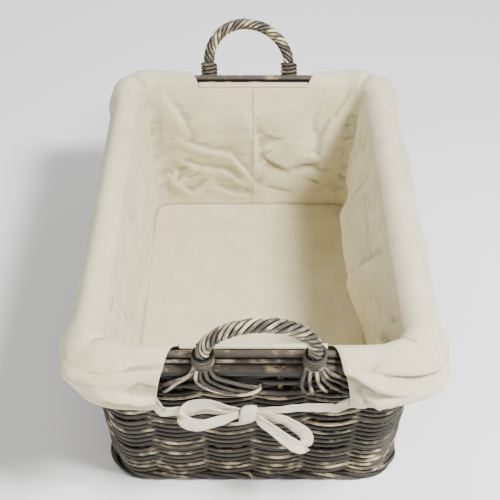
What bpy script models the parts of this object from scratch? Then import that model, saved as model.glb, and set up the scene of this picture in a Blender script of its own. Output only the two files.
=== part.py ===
"""Rectangular log basket in woven cane, with a removable cotton liner and two twisted handles.

Frame: +Z up, X across the width, Y along the length, origin on the ground at the middle of the base.
Thick ribs run up one wall, under the floor and up the other wall. Flat courses of cane weave in and
out of them, two hoops clamp their ends at the rim, and the liner drops in and folds over the rim.
"""

import math

import bmesh
import bpy
from mathutils import Matrix, Vector

# Overall sizes, measured on the middle plane of the woven wall (metres).
RIM_WIDTH = 0.370
RIM_LENGTH = 0.602
RIM_HEIGHT = 0.232
BASE_WIDTH = 0.332
BASE_LENGTH = 0.545
RIM_CORNER_RADIUS = 0.045
BASE_CORNER_RADIUS = 0.040

# Woven wall.
RIB_RADIUS = 0.0035
RIB_BEND_RADIUS = 0.010
FRONT_RIBS = 6
SIDE_RIBS = 9
COURSE_COUNT = 6
COURSE_THICKNESS = 0.0045
COURSE_GAP = 0.0005
WEAVE_CLEARANCE = 0.0008
FLAT_HALF_LENGTH = 0.006

# Floor of the basket.
FLOOR_SKIN = 0.0015
CHANNEL_CLEARANCE = 0.0005
FOOT_ROD_RADIUS = 0.0039
FOOT_ROD_COUNT = 3
PIECE_GAP = 0.0003

# Rim.
OUTER_HOOP_RADIUS = 0.0065
INNER_HOOP_RADIUS = 0.005
TOP_ROD_RADIUS = 0.005
TOP_ROD_DROP = 0.0005

# Handles.
HANDLE_SPAN = 0.120
HANDLE_RISE = 0.057
HANDLE_LEG = 0.018
HANDLE_TILT = math.radians(18)
HANDLE_SHIFT = 0.006
CORE_RADIUS = 0.0038
WRAP_RADIUS = 0.008
WRAP_WALL = 0.0022
LOBE_DEPTH = 0.0009
WRAP_LOBES = 5
WRAP_LEAD = 0.085
COLLAR_CLEARANCE = 0.0008
COLLAR_WALL = 0.0032
COLLAR_HEIGHT = 0.018
COLLAR_TURNS = 3

# Liner.
CLOTH = 0.002
SEAM_HALF_GAP = 0.0006
LINER_CLEARANCE = 0.0012
CUFF_DROP = 0.073
CUFF_OPENING = 0.200
TAPE_WIDTH = 0.016
TAPE_CLOTH = 0.0015
TAPE_HEIGHT = 0.171
TAPE_DIP = 0.016
KNOT_SIZE = Vector((0.022, 0.014, 0.025))
KNOT_SHIFT = -0.006
LOOP_LENGTHS = (0.060, 0.072)
LOOP_SLOPES = (math.radians(4), math.radians(-38))
LOOP_OPENING = 0.0065

RIB_COUNT = 2 * (FRONT_RIBS + SIDE_RIBS)
LEAN = max(abs(RIM_WIDTH - BASE_WIDTH), abs(RIM_LENGTH - BASE_LENGTH)) / 2 / RIM_HEIGHT
COURSE_SPACE = COURSE_GAP + COURSE_THICKNESS * LEAN
LONG_RIB_Z = FLOOR_SKIN + CHANNEL_CLEARANCE + RIB_RADIUS
CROSS_RIB_Z = LONG_RIB_Z + 2 * (RIB_RADIUS + CHANNEL_CLEARANCE) + CHANNEL_CLEARANCE
FLOOR_TOP = CROSS_RIB_Z + RIB_RADIUS + CHANNEL_CLEARANCE + FLOOR_SKIN
FOOT_TOP = FOOT_ROD_COUNT * (2 * FOOT_ROD_RADIUS + PIECE_GAP)
COURSES_FROM = max(CROSS_RIB_Z + RIB_BEND_RADIUS, FOOT_TOP) + COURSE_SPACE
COURSE_OFFSET = RIB_RADIUS + WEAVE_CLEARANCE + COURSE_THICKNESS / 2
HOOP_Z = RIM_HEIGHT - 2 * TOP_ROD_RADIUS - OUTER_HOOP_RADIUS - 0.002
COURSES_TO = HOOP_Z - OUTER_HOOP_RADIUS - COURSE_SPACE
RIB_TOP = RIM_HEIGHT - TOP_ROD_DROP - 2 * TOP_ROD_RADIUS - 2 * PIECE_GAP - RIB_RADIUS * LEAN
OUTER_HOOP_OFFSET = RIB_RADIUS + WEAVE_CLEARANCE + OUTER_HOOP_RADIUS
INNER_HOOP_OFFSET = -(RIB_RADIUS + WEAVE_CLEARANCE + INNER_HOOP_RADIUS)
CUFF_INNER_OFFSET = INNER_HOOP_OFFSET - INNER_HOOP_RADIUS - LINER_CLEARANCE - CLOTH / 2
# The cuff stands clear of the outer hoop, and of the tape where the wall below it is wider than the rim.
TAPE_FOOT = TAPE_HEIGHT - TAPE_DIP - TAPE_WIDTH / 2
WIDENING = max(0.0, BASE_WIDTH - RIM_WIDTH, BASE_LENGTH - RIM_LENGTH) / 2
WIDER_BELOW = WIDENING * (HOOP_Z - TAPE_FOOT) / RIM_HEIGHT
COURSE_FACE = COURSE_OFFSET + COURSE_THICKNESS / 2 + WEAVE_CLEARANCE
CUFF_FACE = max(OUTER_HOOP_OFFSET + OUTER_HOOP_RADIUS, WIDER_BELOW + COURSE_FACE + TAPE_CLOTH)
CUFF_OUTER_OFFSET = CUFF_FACE + LINER_CLEARANCE + CLOTH / 2
CUFF_TOP = RIM_HEIGHT + LINER_CLEARANCE + CLOTH / 2
LINER_BOTTOM = FLOOR_TOP + PIECE_GAP
COLLAR_BORE = WRAP_RADIUS + COLLAR_CLEARANCE
COLLAR_RADIUS = COLLAR_BORE + COLLAR_WALL
HANDLE_FOOT_Z = HOOP_Z + OUTER_HOOP_RADIUS + COLLAR_RADIUS * math.sin(HANDLE_TILT) + 2 * PIECE_GAP
TAPE_OFFSET = CUFF_FACE - TAPE_CLOTH / 2
WALL_FOOT_OFFSET = -(COURSE_OFFSET + COURSE_THICKNESS / 2 + LINER_CLEARANCE + CLOTH / 2)
LINER_WALL_TOP = CUFF_TOP - 0.013
# How far in front of the tape the knot's middle is.
KNOT_STAND = (TAPE_CLOTH + PIECE_GAP + LOOP_OPENING) / 2

ENDS = {"front": 0.0, "back": math.pi}
CANE = (0.20, 0.165, 0.12)


def start_scene():
    for obj in list(bpy.data.objects):
        bpy.data.objects.remove(obj)
    basket = bpy.data.collections.new("lined_log_basket")
    cutters = bpy.data.collections.new("cutters")
    for collection in (basket, cutters):
        bpy.context.scene.collection.children.link(collection)
    return basket, cutters


def make_material(name, colour, roughness):
    material = bpy.data.materials.new(name)
    material.use_nodes = True
    shader = material.node_tree.nodes["Principled BSDF"]
    shader.inputs["Base Color"].default_value = (*colour, 1.0)
    shader.inputs["Roughness"].default_value = roughness
    shader.inputs["Metallic"].default_value = 0.0
    return material


def place(name, data, collection, material=None):
    obj = bpy.data.objects.new(name, data)
    collection.objects.link(obj)
    if material:
        data.materials.append(material)
    return obj


def mix(a, b, share):
    return a + (b - a) * share


# --- The outline that everything follows -------------------------------------------------------

def outline(z):
    """Half width, half length and corner radius of the wall's middle plane at that height."""
    share = z / RIM_HEIGHT
    return (
        mix(BASE_WIDTH, RIM_WIDTH, share) / 2,
        mix(BASE_LENGTH, RIM_LENGTH, share) / 2,
        mix(BASE_CORNER_RADIUS, RIM_CORNER_RADIUS, share),
    )


def runs(z):
    """Lengths of the straight sides and corner arcs in turn, from the front's middle towards +X."""
    half_width, half_length, radius = outline(z)
    flat_x, flat_y, arc = half_width - radius, half_length - radius, math.pi / 2 * radius
    return [flat_x, arc, 2 * flat_y, arc, 2 * flat_x, arc, 2 * flat_y, arc, flat_x]


REFERENCE_RUNS = runs(RIM_HEIGHT / 2)
GIRTH = sum(REFERENCE_RUNS)
CORNER_SHARE = (REFERENCE_RUNS[0] + REFERENCE_RUNS[1] / 2) / GIRTH


def wall_point(share, z, offset=0.0, at=None):
    """A point that share of the way round, moved outward by offset, at height z or at height at.

    The share is counted along the outline at mid-height, so one share makes a straight line up the wall.
    """
    along = (share % 1.0) * GIRTH
    step = 0
    while step < len(REFERENCE_RUNS) - 1 and along > REFERENCE_RUNS[step]:
        along -= REFERENCE_RUNS[step]
        step += 1
    part = along / REFERENCE_RUNS[step]
    half_width, half_length, radius = outline(z)
    x, y = half_width - radius, half_length - radius
    centres = [Vector(xy) for xy in ((0, -y), (x, -y), (x, y), (-x, y), (-x, -y), (0, -y))]
    side, on_corner = divmod(step, 2)
    turn = math.pi / 2 * (side + part * on_corner)
    centre = centres[side + 1] if on_corner else centres[side].lerp(centres[side + 1], part)
    flat_point = centre + Vector((math.sin(turn), -math.cos(turn))) * (radius + offset)
    return Vector((flat_point.x, flat_point.y, z if at is None else at))


def front_share(x, z):
    """Share at which the front's straight side is that far from its middle, at height z."""
    return x / runs(z)[0] * REFERENCE_RUNS[0] / GIRTH


def spread_shares(start, end):
    """Shares from start to end with the corner points between them."""
    inside = [share + whole for whole in (-1, 0, 1) for share in ring_shares() if start < share + whole < end]
    return [start, *inside, end]


def rib_share(number):
    return (number + 0.5) / RIB_COUNT


def ring_shares(corner_steps=4):
    """Shares for a smooth ring: both ends of each straight side, and the points round each corner."""
    shares, along = [], 0.0
    for side, arc in zip(REFERENCE_RUNS[0:8:2], REFERENCE_RUNS[1:8:2]):
        along += side
        shares += [(along + arc * step / corner_steps) / GIRTH for step in range(corner_steps + 1)]
        along += arc
    return shares


# --- Ways of making a piece --------------------------------------------------------------------

def tube(name, points, radius, material, collection, closed=False, sides=8):
    curve = bpy.data.curves.new(name, "CURVE")
    curve.dimensions = "3D"
    curve.bevel_depth = radius
    curve.bevel_resolution = (sides - 4) // 2
    curve.use_fill_caps = True
    spline = curve.splines.new("POLY")
    spline.points.add(len(points) - 1)
    for control, point in zip(spline.points, points):
        control.co = (*point, 1.0)
    spline.use_cyclic_u = closed
    return place(name, curve, collection, material)


def sheet(name, rows, thickness, material, collection, closed=False):
    """An open surface through rows of points, given its thickness evenly on both sides."""
    shape = bmesh.new()
    lines = [[shape.verts.new(point) for point in row] for row in rows]
    count = len(lines[0])
    for low, high in zip(lines, lines[1:]):
        for i in range(count if closed else count - 1):
            j = (i + 1) % count
            shape.faces.new((low[i], low[j], high[j], high[i]))
    mesh = bpy.data.meshes.new(name)
    shape.to_mesh(mesh)
    shape.free()
    obj = place(name, mesh, collection, material)
    solidify = obj.modifiers.new("thickness", "SOLIDIFY")
    solidify.thickness = thickness
    solidify.offset = 0.0
    solidify.use_even_offset = True
    return obj


def as_mesh(obj, collection):
    """The curve object as a closed mesh that a Boolean can use."""
    bpy.context.view_layer.update()
    graph = bpy.context.evaluated_depsgraph_get()
    mesh = bpy.data.meshes.new_from_object(obj.evaluated_get(graph))
    shape = bmesh.new()
    shape.from_mesh(mesh)
    bmesh.ops.remove_doubles(shape, verts=shape.verts, dist=1e-5)
    shape.to_mesh(mesh)
    shape.free()
    name, world = obj.name, obj.matrix_world.copy()
    bpy.data.objects.remove(obj)
    made = bpy.data.objects.new(name, mesh)
    made.matrix_world = world
    collection.objects.link(made)
    return made


def turned(name, profile, steps, material, collection):
    """A profile of (radius, height) points, outer side first and top to bottom, turned round Z."""
    mesh = bpy.data.meshes.new(name)
    count = len(profile)
    edges = [(i, (i + 1) % count) for i in range(count)]
    mesh.from_pydata([(radius, 0.0, height) for radius, height in profile], edges, [])
    obj = place(name, mesh, collection, material)
    screw = obj.modifiers.new("turn", "SCREW")
    screw.steps = screw.render_steps = steps
    screw.use_merge_vertices = True
    screw.merge_threshold = 0.0001
    return obj


# --- Ribs --------------------------------------------------------------------------------------

def rib_path(share, mirror_axis, floor_z):
    """Down one wall, across the floor and up the opposite wall, in one bent rod."""
    leg_foot = floor_z + RIB_BEND_RADIUS
    top = wall_point(share, RIB_TOP)
    foot = wall_point(share, leg_foot)
    inward = Vector((0.0, 0.0, 0.0))
    inward[mirror_axis] = -math.copysign(1.0, foot[mirror_axis])
    middle = foot + inward * RIB_BEND_RADIUS
    half = [top]
    for step in range(4):
        angle = math.pi / 2 * step / 3
        half.append(middle - inward * RIB_BEND_RADIUS * math.cos(angle)
                    - Vector((0.0, 0.0, RIB_BEND_RADIUS * math.sin(angle))))
    other = [point.copy() for point in reversed(half)]
    for point in other:
        point[mirror_axis] = -point[mirror_axis]
    return half + other


def rib_paths():
    """Each rib's name and path: those that run along the basket, then those that cross it."""
    half_front = FRONT_RIBS // 2
    paths = {}
    for i in range(FRONT_RIBS):
        number = (i - half_front) % RIB_COUNT
        paths[f"long_rib_{i + 1}"] = rib_path(rib_share(number), 1, LONG_RIB_Z)
    for i in range(SIDE_RIBS):
        number = half_front + i
        paths[f"cross_rib_{i + 1}"] = rib_path(rib_share(number), 0, CROSS_RIB_Z)
    return paths


def build_ribs(collection, material):
    for name, path in rib_paths().items():
        tube(name, path, RIB_RADIUS, material, collection, sides=6)


# --- Floor and foot ----------------------------------------------------------------------------

def build_floor(collection, cutters, material):
    """The woven floor: a mat with a channel round each rib that runs through it."""
    edge_offset = -(RIB_BEND_RADIUS + CHANNEL_CLEARANCE)
    ring = [wall_point(share, 0.0, edge_offset) for share in ring_shares()]
    curve = bpy.data.curves.new("floor_outline", "CURVE")
    curve.dimensions = "2D"
    curve.fill_mode = "BOTH"
    curve.extrude = FLOOR_TOP / 2
    spline = curve.splines.new("POLY")
    spline.points.add(len(ring) - 1)
    for control, point in zip(spline.points, ring):
        control.co = (*point, 1.0)
    spline.use_cyclic_u = True
    blank = place("floor_mat", curve, collection)
    blank.location.z = FLOOR_TOP / 2
    mat = as_mesh(blank, collection)
    mat.data.materials.append(material)
    for name, path in rib_paths().items():
        rod = tube(f"{name}_channel", path, RIB_RADIUS + CHANNEL_CLEARANCE, material, cutters, sides=6)
        channel = as_mesh(rod, cutters)
        channel.hide_render = True
        channel.display_type = "WIRE"
        cut = mat.modifiers.new(name, "BOOLEAN")
        cut.operation = "DIFFERENCE"
        cut.object = channel
    return mat


def build_foot(collection, material):
    """The rods that close the bottom corner, outside the ribs: the border it stands on, then the rest."""
    offset = RIB_RADIUS + WEAVE_CLEARANCE + FOOT_ROD_RADIUS
    for i in range(FOOT_ROD_COUNT):
        z = FOOT_ROD_RADIUS + i * (2 * FOOT_ROD_RADIUS + PIECE_GAP)
        ring = [wall_point(share, z, offset) for share in ring_shares()]
        name = "foot_border" if i == 0 else f"upsett_rod_{i}"
        tube(name, ring, FOOT_ROD_RADIUS, material, collection, closed=True)


# --- Woven courses -----------------------------------------------------------------------------

def course_stations():
    """Share of the way round and side of the wall (+1 outside, -1 inside) along one course."""
    flat = FLAT_HALF_LENGTH / GIRTH
    stations = []
    for number in range(RIB_COUNT):
        side = 1 if number % 2 == 0 else -1
        start, end = rib_share(number) + flat, rib_share(number + 1) - flat
        crossing = spread_shares(start, end)[:-1]
        stations.append((rib_share(number) - flat, side))
        stations += [(share, side * (1 - 2 * (share - start) / (end - start))) for share in crossing]
    return stations


def build_courses(collection, material):
    """Bands of cane that pass outside one rib and inside the next, each course opposite to the last."""
    pitch = (COURSES_TO - COURSES_FROM + COURSE_SPACE) / COURSE_COUNT
    for i in range(COURSE_COUNT):
        low = COURSES_FROM + i * pitch
        high = low + pitch - COURSE_SPACE
        phase = 1 if i % 2 == 0 else -1
        rows = [
            [wall_point(share, z, phase * side * COURSE_OFFSET) for share, side in course_stations()]
            for z in (low, high)
        ]
        sheet(f"weave_course_{i + 1}", rows, COURSE_THICKNESS, material, collection, closed=True)


# --- Rim ---------------------------------------------------------------------------------------

def build_hoops(collection, material):
    for name, offset, radius in (
        ("outer_hoop", OUTER_HOOP_OFFSET, OUTER_HOOP_RADIUS),
        ("inner_hoop", INNER_HOOP_OFFSET, INNER_HOOP_RADIUS),
    ):
        ring = [wall_point(share, HOOP_Z, offset) for share in ring_shares()]
        tube(name, ring, radius, material, collection, closed=True)


def build_top_rods(collection, material):
    """The rod over the rib ends, in four lengths that stop at the handles' lashings."""
    z = RIM_HEIGHT - TOP_ROD_RADIUS - TOP_ROD_DROP
    left, right = (front_share(HANDLE_SHIFT + side * HANDLE_SPAN / 2, z) for side in (-1, 1))
    gap = front_share(COLLAR_RADIUS + 2 * PIECE_GAP, z)
    spans = {
        "front": (left + gap, right - gap),
        "right": (right + gap, 0.5 + left - gap),
        "back": (0.5 + left + gap, 0.5 + right - gap),
        "left": (0.5 + right + gap, 1 + left - gap),
    }
    for side, (start, end) in spans.items():
        points = [wall_point(share, z) for share in spread_shares(start, end)]
        tube(f"top_rod_{side}", points, TOP_ROD_RADIUS, material, collection)


# --- Handles -----------------------------------------------------------------------------------

def handle_point(across, up):
    """A point of the front handle's plane, from the middle of its feet on the outer hoop."""
    foot_y = -(outline(HOOP_Z)[1] + OUTER_HOOP_OFFSET)
    return Vector((HANDLE_SHIFT + across, foot_y - up * math.tan(HANDLE_TILT), HANDLE_FOOT_Z + up))


def handle_path(steps):
    """The whole bow of a handle: a leg, the arch and the other leg."""
    path = [handle_point(HANDLE_SPAN / 2, 0.0)]
    for step in range(steps + 1):
        angle = math.pi * step / steps
        up = HANDLE_LEG + HANDLE_RISE * math.sin(angle)
        path.append(handle_point(HANDLE_SPAN / 2 * math.cos(angle), up))
    return [*path, handle_point(-HANDLE_SPAN / 2, 0.0)]


def resampled(points, spacing):
    """The same path with evenly spaced points."""
    lengths = [0.0]
    for a, b in zip(points, points[1:]):
        lengths.append(lengths[-1] + (b - a).length)
    count = max(2, round(lengths[-1] / spacing))
    made, i = [], 0
    for step in range(count + 1):
        along = lengths[-1] * step / count
        while i < len(points) - 2 and lengths[i + 1] < along:
            i += 1
        made.append(points[i].lerp(points[i + 1], (along - lengths[i]) / (lengths[i + 1] - lengths[i])))
    return made


def wrap_rows(path):
    """Rings of a rope-like sleeve: lobes that turn round the path at a steady lead."""
    rows, along = [], 0.0
    side = Vector((0.0, 1.0, 0.0))
    for i, point in enumerate(path):
        ahead = path[min(i + 1, len(path) - 1)] - path[max(i - 1, 0)]
        ahead.normalize()
        across = ahead.cross(side).normalized()
        out = across.cross(ahead)
        twist = 2 * math.pi * along / WRAP_LEAD
        row = []
        for corner in range(2 * WRAP_LOBES):
            angle = math.pi * corner / WRAP_LOBES + twist
            radius = WRAP_RADIUS - WRAP_WALL / 2 - (LOBE_DEPTH if corner % 2 else 0.0)
            row.append(point + (across * math.cos(angle) + out * math.sin(angle)) * radius)
        rows.append(row)
        if i + 1 < len(path):
            along += (path[i + 1] - point).length
    return rows


def collar_profile():
    """Half section of the lashing at a handle's foot: turns of cane round a straight bore."""
    turn = COLLAR_HEIGHT / COLLAR_TURNS
    outer = []
    for i in range(COLLAR_TURNS):
        top = COLLAR_HEIGHT - i * turn
        valley = COLLAR_RADIUS - COLLAR_WALL * 0.3
        outer += [(valley, top - turn * 0.05), (COLLAR_RADIUS, top - turn * 0.5), (valley, top - turn * 0.95)]
    return [*outer, (COLLAR_BORE, 0.0), (COLLAR_BORE, COLLAR_HEIGHT)]


def build_handle(end, turn, collection, materials):
    spin = Matrix.Rotation(turn, 4, "Z")
    core = tube(f"{end}_handle_core", handle_path(16)[1:-1], CORE_RADIUS, materials["rim"], collection)
    rows = wrap_rows(resampled(handle_path(40), 0.007))
    wrap = sheet(f"{end}_handle_wrap", rows, WRAP_WALL, materials["handle"], collection, closed=True)
    core.matrix_world = wrap.matrix_world = spin
    for side, sign in (("right", 1), ("left", -1)):
        collar = turned(f"{end}_handle_lashing_{side}", collar_profile(), 16, materials["handle"], collection)
        foot = Matrix.Translation(handle_point(sign * HANDLE_SPAN / 2, 0.0))
        collar.matrix_world = spin @ foot @ Matrix.Rotation(HANDLE_TILT, 4, "X")


# --- Liner -------------------------------------------------------------------------------------

def build_liner_floor(collection, material):
    z = LINER_BOTTOM + CLOTH / 2
    inset = WALL_FOOT_OFFSET - CLOTH / 2 - LINER_CLEARANCE
    ring = [wall_point(share, z, inset) for share in ring_shares()]
    curve = bpy.data.curves.new("liner_floor", "CURVE")
    curve.dimensions = "2D"
    curve.fill_mode = "BOTH"
    curve.extrude = CLOTH / 2
    spline = curve.splines.new("POLY")
    spline.points.add(len(ring) - 1)
    for control, point in zip(spline.points, ring):
        control.co = (point.x, point.y, 0.0, 1.0)
    spline.use_cyclic_u = True
    place("liner_floor", curve, collection, material).location.z = z


def build_liner_walls(collection, material):
    """Four cloth walls that meet in a seam at the middle of each corner."""
    corner = CORNER_SHARE
    seam = SEAM_HALF_GAP / GIRTH
    spans = {
        "front": (-corner + seam, corner - seam),
        "right": (corner + seam, 0.5 - corner - seam),
        "back": (0.5 - corner + seam, 0.5 + corner - seam),
        "left": (0.5 + corner + seam, 1 - corner - seam),
    }
    for side, (start, end) in spans.items():
        shares = spread_shares(start, end)
        rows = [
            [wall_point(share, LINER_BOTTOM, WALL_FOOT_OFFSET) for share in shares],
            [wall_point(share, HOOP_Z, CUFF_INNER_OFFSET, at=LINER_WALL_TOP) for share in shares],
        ]
        sheet(f"liner_wall_{side}", rows, CLOTH, material, collection)


def build_cuffs(collection, material):
    """The part of the liner that folds over the rim: six lengths, open at both handles."""
    corner = CORNER_SHARE
    seam = SEAM_HALF_GAP / GIRTH
    opening = front_share(CUFF_OPENING / 2, HOOP_Z)
    spans = {
        "front_right": (opening, corner - seam),
        "right": (corner + seam, 0.5 - corner - seam),
        "back_right": (0.5 - corner + seam, 0.5 - opening),
        "back_left": (0.5 + opening, 0.5 + corner - seam),
        "left": (0.5 + corner + seam, 1 - corner - seam),
        "front_left": (1 - corner + seam, 1 - opening),
    }
    inner_foot = LINER_WALL_TOP + 2 * PIECE_GAP
    profile = (
        (CUFF_INNER_OFFSET, inner_foot),
        (CUFF_INNER_OFFSET, CUFF_TOP),
        (CUFF_OUTER_OFFSET, CUFF_TOP),
        (CUFF_OUTER_OFFSET, RIM_HEIGHT - CUFF_DROP),
    )
    for side, (start, end) in spans.items():
        shares = spread_shares(start, end)
        rows = [[wall_point(share, HOOP_Z, offset, at=z) for share in shares] for offset, z in profile]
        sheet(f"cuff_{side}", rows, CLOTH, material, collection)


# --- Tape and bows -----------------------------------------------------------------------------

def ribbon(name, path, material, collection):
    """A strip of tape on edge, whose middle line follows the path."""
    rows = [[point + Vector((0.0, 0.0, side * TAPE_WIDTH / 2)) for point in path] for side in (-1, 1)]
    return sheet(name, rows, TAPE_CLOTH, material, collection)


def tape_y():
    """The tape's line across the ends: by the cuff's hem, and clear of the wall behind the knot."""
    knot_foot = TAPE_HEIGHT - TAPE_DIP - KNOT_SIZE.z / 2
    knot_line = outline(knot_foot)[1] + COURSE_FACE + KNOT_SIZE.y / 2 - KNOT_STAND
    return -max(outline(HOOP_Z)[1] + TAPE_OFFSET, knot_line)


def build_tape(collection, material):
    """The tape inside the cuff's hem: one length down each side, from the front knot to the back knot."""
    opening = front_share(CUFF_OPENING / 2, HOOP_Z)
    reach = KNOT_SIZE.x / 2 + PIECE_GAP
    half_turn = Matrix.Rotation(math.pi, 3, "Z")
    for side, sign in (("right", 1), ("left", -1)):
        shares = spread_shares(opening, 0.5 - opening)
        path = [wall_point(sign * share, HOOP_Z, TAPE_OFFSET, at=TAPE_HEIGHT) for share in shares]
        front_end = Vector((KNOT_SHIFT + sign * reach, tape_y(), TAPE_HEIGHT - TAPE_DIP))
        back_end = half_turn @ Vector((KNOT_SHIFT - sign * reach, tape_y(), TAPE_HEIGHT - TAPE_DIP))
        ribbon(f"tape_{side}", [front_end, *path, back_end], material, collection)


def build_bow(end, turn, collection, material):
    """The knot and its two loops, which hang in front of the tape."""
    spin = Matrix.Rotation(turn, 4, "Z")
    loop_y = tape_y() - TAPE_CLOTH - PIECE_GAP - LOOP_OPENING
    centre = Vector((KNOT_SHIFT, (tape_y() + loop_y) / 2, TAPE_HEIGHT - TAPE_DIP))
    bpy.ops.mesh.primitive_cube_add(size=1.0)
    knot = bpy.context.object
    knot.name = f"{end}_bow_knot"
    knot.data.transform(Matrix.Diagonal((*KNOT_SIZE, 1.0)))
    knot.data.materials.append(material)
    for owner in list(knot.users_collection):
        owner.objects.unlink(knot)
    collection.objects.link(knot)
    knot.matrix_world = spin @ Matrix.Translation(centre)
    bevel = knot.modifiers.new("soft_edges", "BEVEL")
    bevel.width = 0.003
    bevel.segments = 2
    for side, sign, length, slope in zip(("left", "right"), (-1, 1), LOOP_LENGTHS, LOOP_SLOPES):
        near = sign * (KNOT_SIZE.x / 2 + PIECE_GAP + TAPE_WIDTH / 2 * abs(math.sin(slope)))
        far = near + sign * (length - LOOP_OPENING)
        end_turn = [Vector((far + sign * LOOP_OPENING * math.sin(angle), LOOP_OPENING * math.cos(angle), 0.0))
                    for angle in (math.pi * step / 6 for step in range(7))]
        path = [Vector((near, TAPE_CLOTH, 0.0)), *end_turn, Vector((near, -TAPE_CLOTH, 0.0))]
        loop = ribbon(f"{end}_bow_loop_{side}", path, material, collection)
        lean = Matrix.Rotation(-sign * slope, 4, "Y")
        loop.matrix_world = spin @ Matrix.Translation((centre.x, loop_y, centre.z)) @ lean


def build():
    basket, cutters = start_scene()
    materials = {
        "ribs": make_material("rib_cane", CANE, 0.6),
        "weave": make_material("weaving_cane", (0.16, 0.135, 0.10), 0.6),
        "rim": make_material("rim_cane", (0.14, 0.11, 0.08), 0.55),
        "handle": make_material("handle_cane", (0.30, 0.27, 0.20), 0.55),
        "liner": make_material("liner_cotton", (0.70, 0.66, 0.57), 0.9),
        "tape": make_material("tape_cotton", (0.74, 0.70, 0.62), 0.9),
    }
    build_ribs(basket, materials["ribs"])
    build_floor(basket, cutters, materials["weave"])
    build_foot(basket, materials["weave"])
    build_courses(basket, materials["weave"])
    build_hoops(basket, materials["rim"])
    build_top_rods(basket, materials["rim"])
    build_liner_floor(basket, materials["liner"])
    build_liner_walls(basket, materials["liner"])
    build_cuffs(basket, materials["liner"])
    build_tape(basket, materials["tape"])
    for end, turn in ENDS.items():
        build_handle(end, turn, basket, materials)
        build_bow(end, turn, basket, materials["tape"])


build()
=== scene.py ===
import math
import random

import bmesh
import bpy
import numpy as np
from mathutils import Matrix, Vector, noise


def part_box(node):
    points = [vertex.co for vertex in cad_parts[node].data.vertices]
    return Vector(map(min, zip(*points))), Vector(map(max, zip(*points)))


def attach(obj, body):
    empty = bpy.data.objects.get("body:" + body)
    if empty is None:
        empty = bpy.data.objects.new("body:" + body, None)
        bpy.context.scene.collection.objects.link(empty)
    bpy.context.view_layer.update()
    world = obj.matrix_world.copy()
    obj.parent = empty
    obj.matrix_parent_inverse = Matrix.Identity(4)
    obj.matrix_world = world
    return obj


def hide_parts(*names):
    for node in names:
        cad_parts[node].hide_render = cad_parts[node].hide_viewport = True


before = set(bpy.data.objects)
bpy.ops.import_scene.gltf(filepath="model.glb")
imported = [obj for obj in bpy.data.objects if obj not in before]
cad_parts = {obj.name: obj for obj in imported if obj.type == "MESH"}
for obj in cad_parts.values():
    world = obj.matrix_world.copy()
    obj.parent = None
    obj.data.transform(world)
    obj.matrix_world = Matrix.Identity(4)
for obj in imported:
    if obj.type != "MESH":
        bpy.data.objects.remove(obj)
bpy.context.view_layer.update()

# --- Sizes read from the frame -----------------------------------------------------------------

OUTER_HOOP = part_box("outer_hoop")
INNER_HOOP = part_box("inner_hoop")
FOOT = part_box("foot_border")
TOP_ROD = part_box("top_rod_front")
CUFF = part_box("cuff_left")
LINER_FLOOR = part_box("liner_floor")
LASHING_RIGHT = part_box("front_handle_lashing_right")
LASHING_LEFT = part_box("front_handle_lashing_left")
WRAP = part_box("front_handle_wrap")
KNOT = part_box("front_bow_knot")
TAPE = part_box("tape_right")
CROSS_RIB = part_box("cross_rib_5")

OUTER_RADIUS = (OUTER_HOOP[1].z - OUTER_HOOP[0].z) / 2
INNER_RADIUS = (INNER_HOOP[1].z - INNER_HOOP[0].z) / 2
TOP_RADIUS = (TOP_ROD[1].z - TOP_ROD[0].z) / 2
FOOT_RADIUS = (FOOT[1].z - FOOT[0].z) / 2
RIB_RADIUS = (CROSS_RIB[1].y - CROSS_RIB[0].y) / 2
HOOP_Z = (OUTER_HOOP[1].z + OUTER_HOOP[0].z) / 2
TOP_ROD_Z = (TOP_ROD[1].z + TOP_ROD[0].z) / 2
RIM_Z = TOP_ROD[1].z
HALF_GAP = (OUTER_HOOP[1].x - 2 * OUTER_RADIUS - INNER_HOOP[1].x) / 2
OUTER_OFFSET = HALF_GAP + OUTER_RADIUS
INNER_OFFSET = -HALF_GAP - INNER_RADIUS
FRONT_RIBS = len([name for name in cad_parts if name.startswith("long_rib")])
SIDE_RIBS = len([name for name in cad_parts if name.startswith("cross_rib")])
RIB_COUNT = 2 * (FRONT_RIBS + SIDE_RIBS)

# Corner radii of the wall's middle plane, at the ground and at the rim.
BASE_CORNER = 0.040
RIM_CORNER = 0.045

# The back of the basket is its front, turned half round.
SPINS = {"front": Matrix.Identity(4), "back": Matrix.Rotation(math.pi, 4, "Z")}
STILL = Vector((0, 0, 0))
UP = Vector((0, 0, 1))
MILLIMETRE = 0.001


def mix(a, b, share):
    return a + (b - a) * share


def clamp(value, low=0.0, high=1.0):
    return max(low, min(high, value))


def smooth(value):
    value = clamp(value)
    return value * value * (3 - 2 * value)


def evenly(low, high, count):
    """The values from low to high in that many equal steps."""
    return [mix(low, high, i / count) for i in range(count + 1)]


def in_metres(table):
    """A table written in millimetres, with its words left alone."""
    if isinstance(table, (tuple, list)):
        return tuple(in_metres(entry) for entry in table)
    return table * MILLIMETRE if isinstance(table, (int, float)) else table


# --- The wall's outline, as the frame has it ---------------------------------------------------

def outline(z):
    """Half width, half length and corner radius of the wall's middle plane at that height."""
    share = (z - FOOT_RADIUS) / (HOOP_Z - FOOT_RADIUS)
    foot_x, foot_y = (FOOT[1][axis] - 2 * FOOT_RADIUS - HALF_GAP for axis in (0, 1))
    hoop_x, hoop_y = (INNER_HOOP[1][axis] + HALF_GAP for axis in (0, 1))
    return mix(foot_x, hoop_x, share), mix(foot_y, hoop_y, share), mix(BASE_CORNER, RIM_CORNER, z / RIM_Z)


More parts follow.
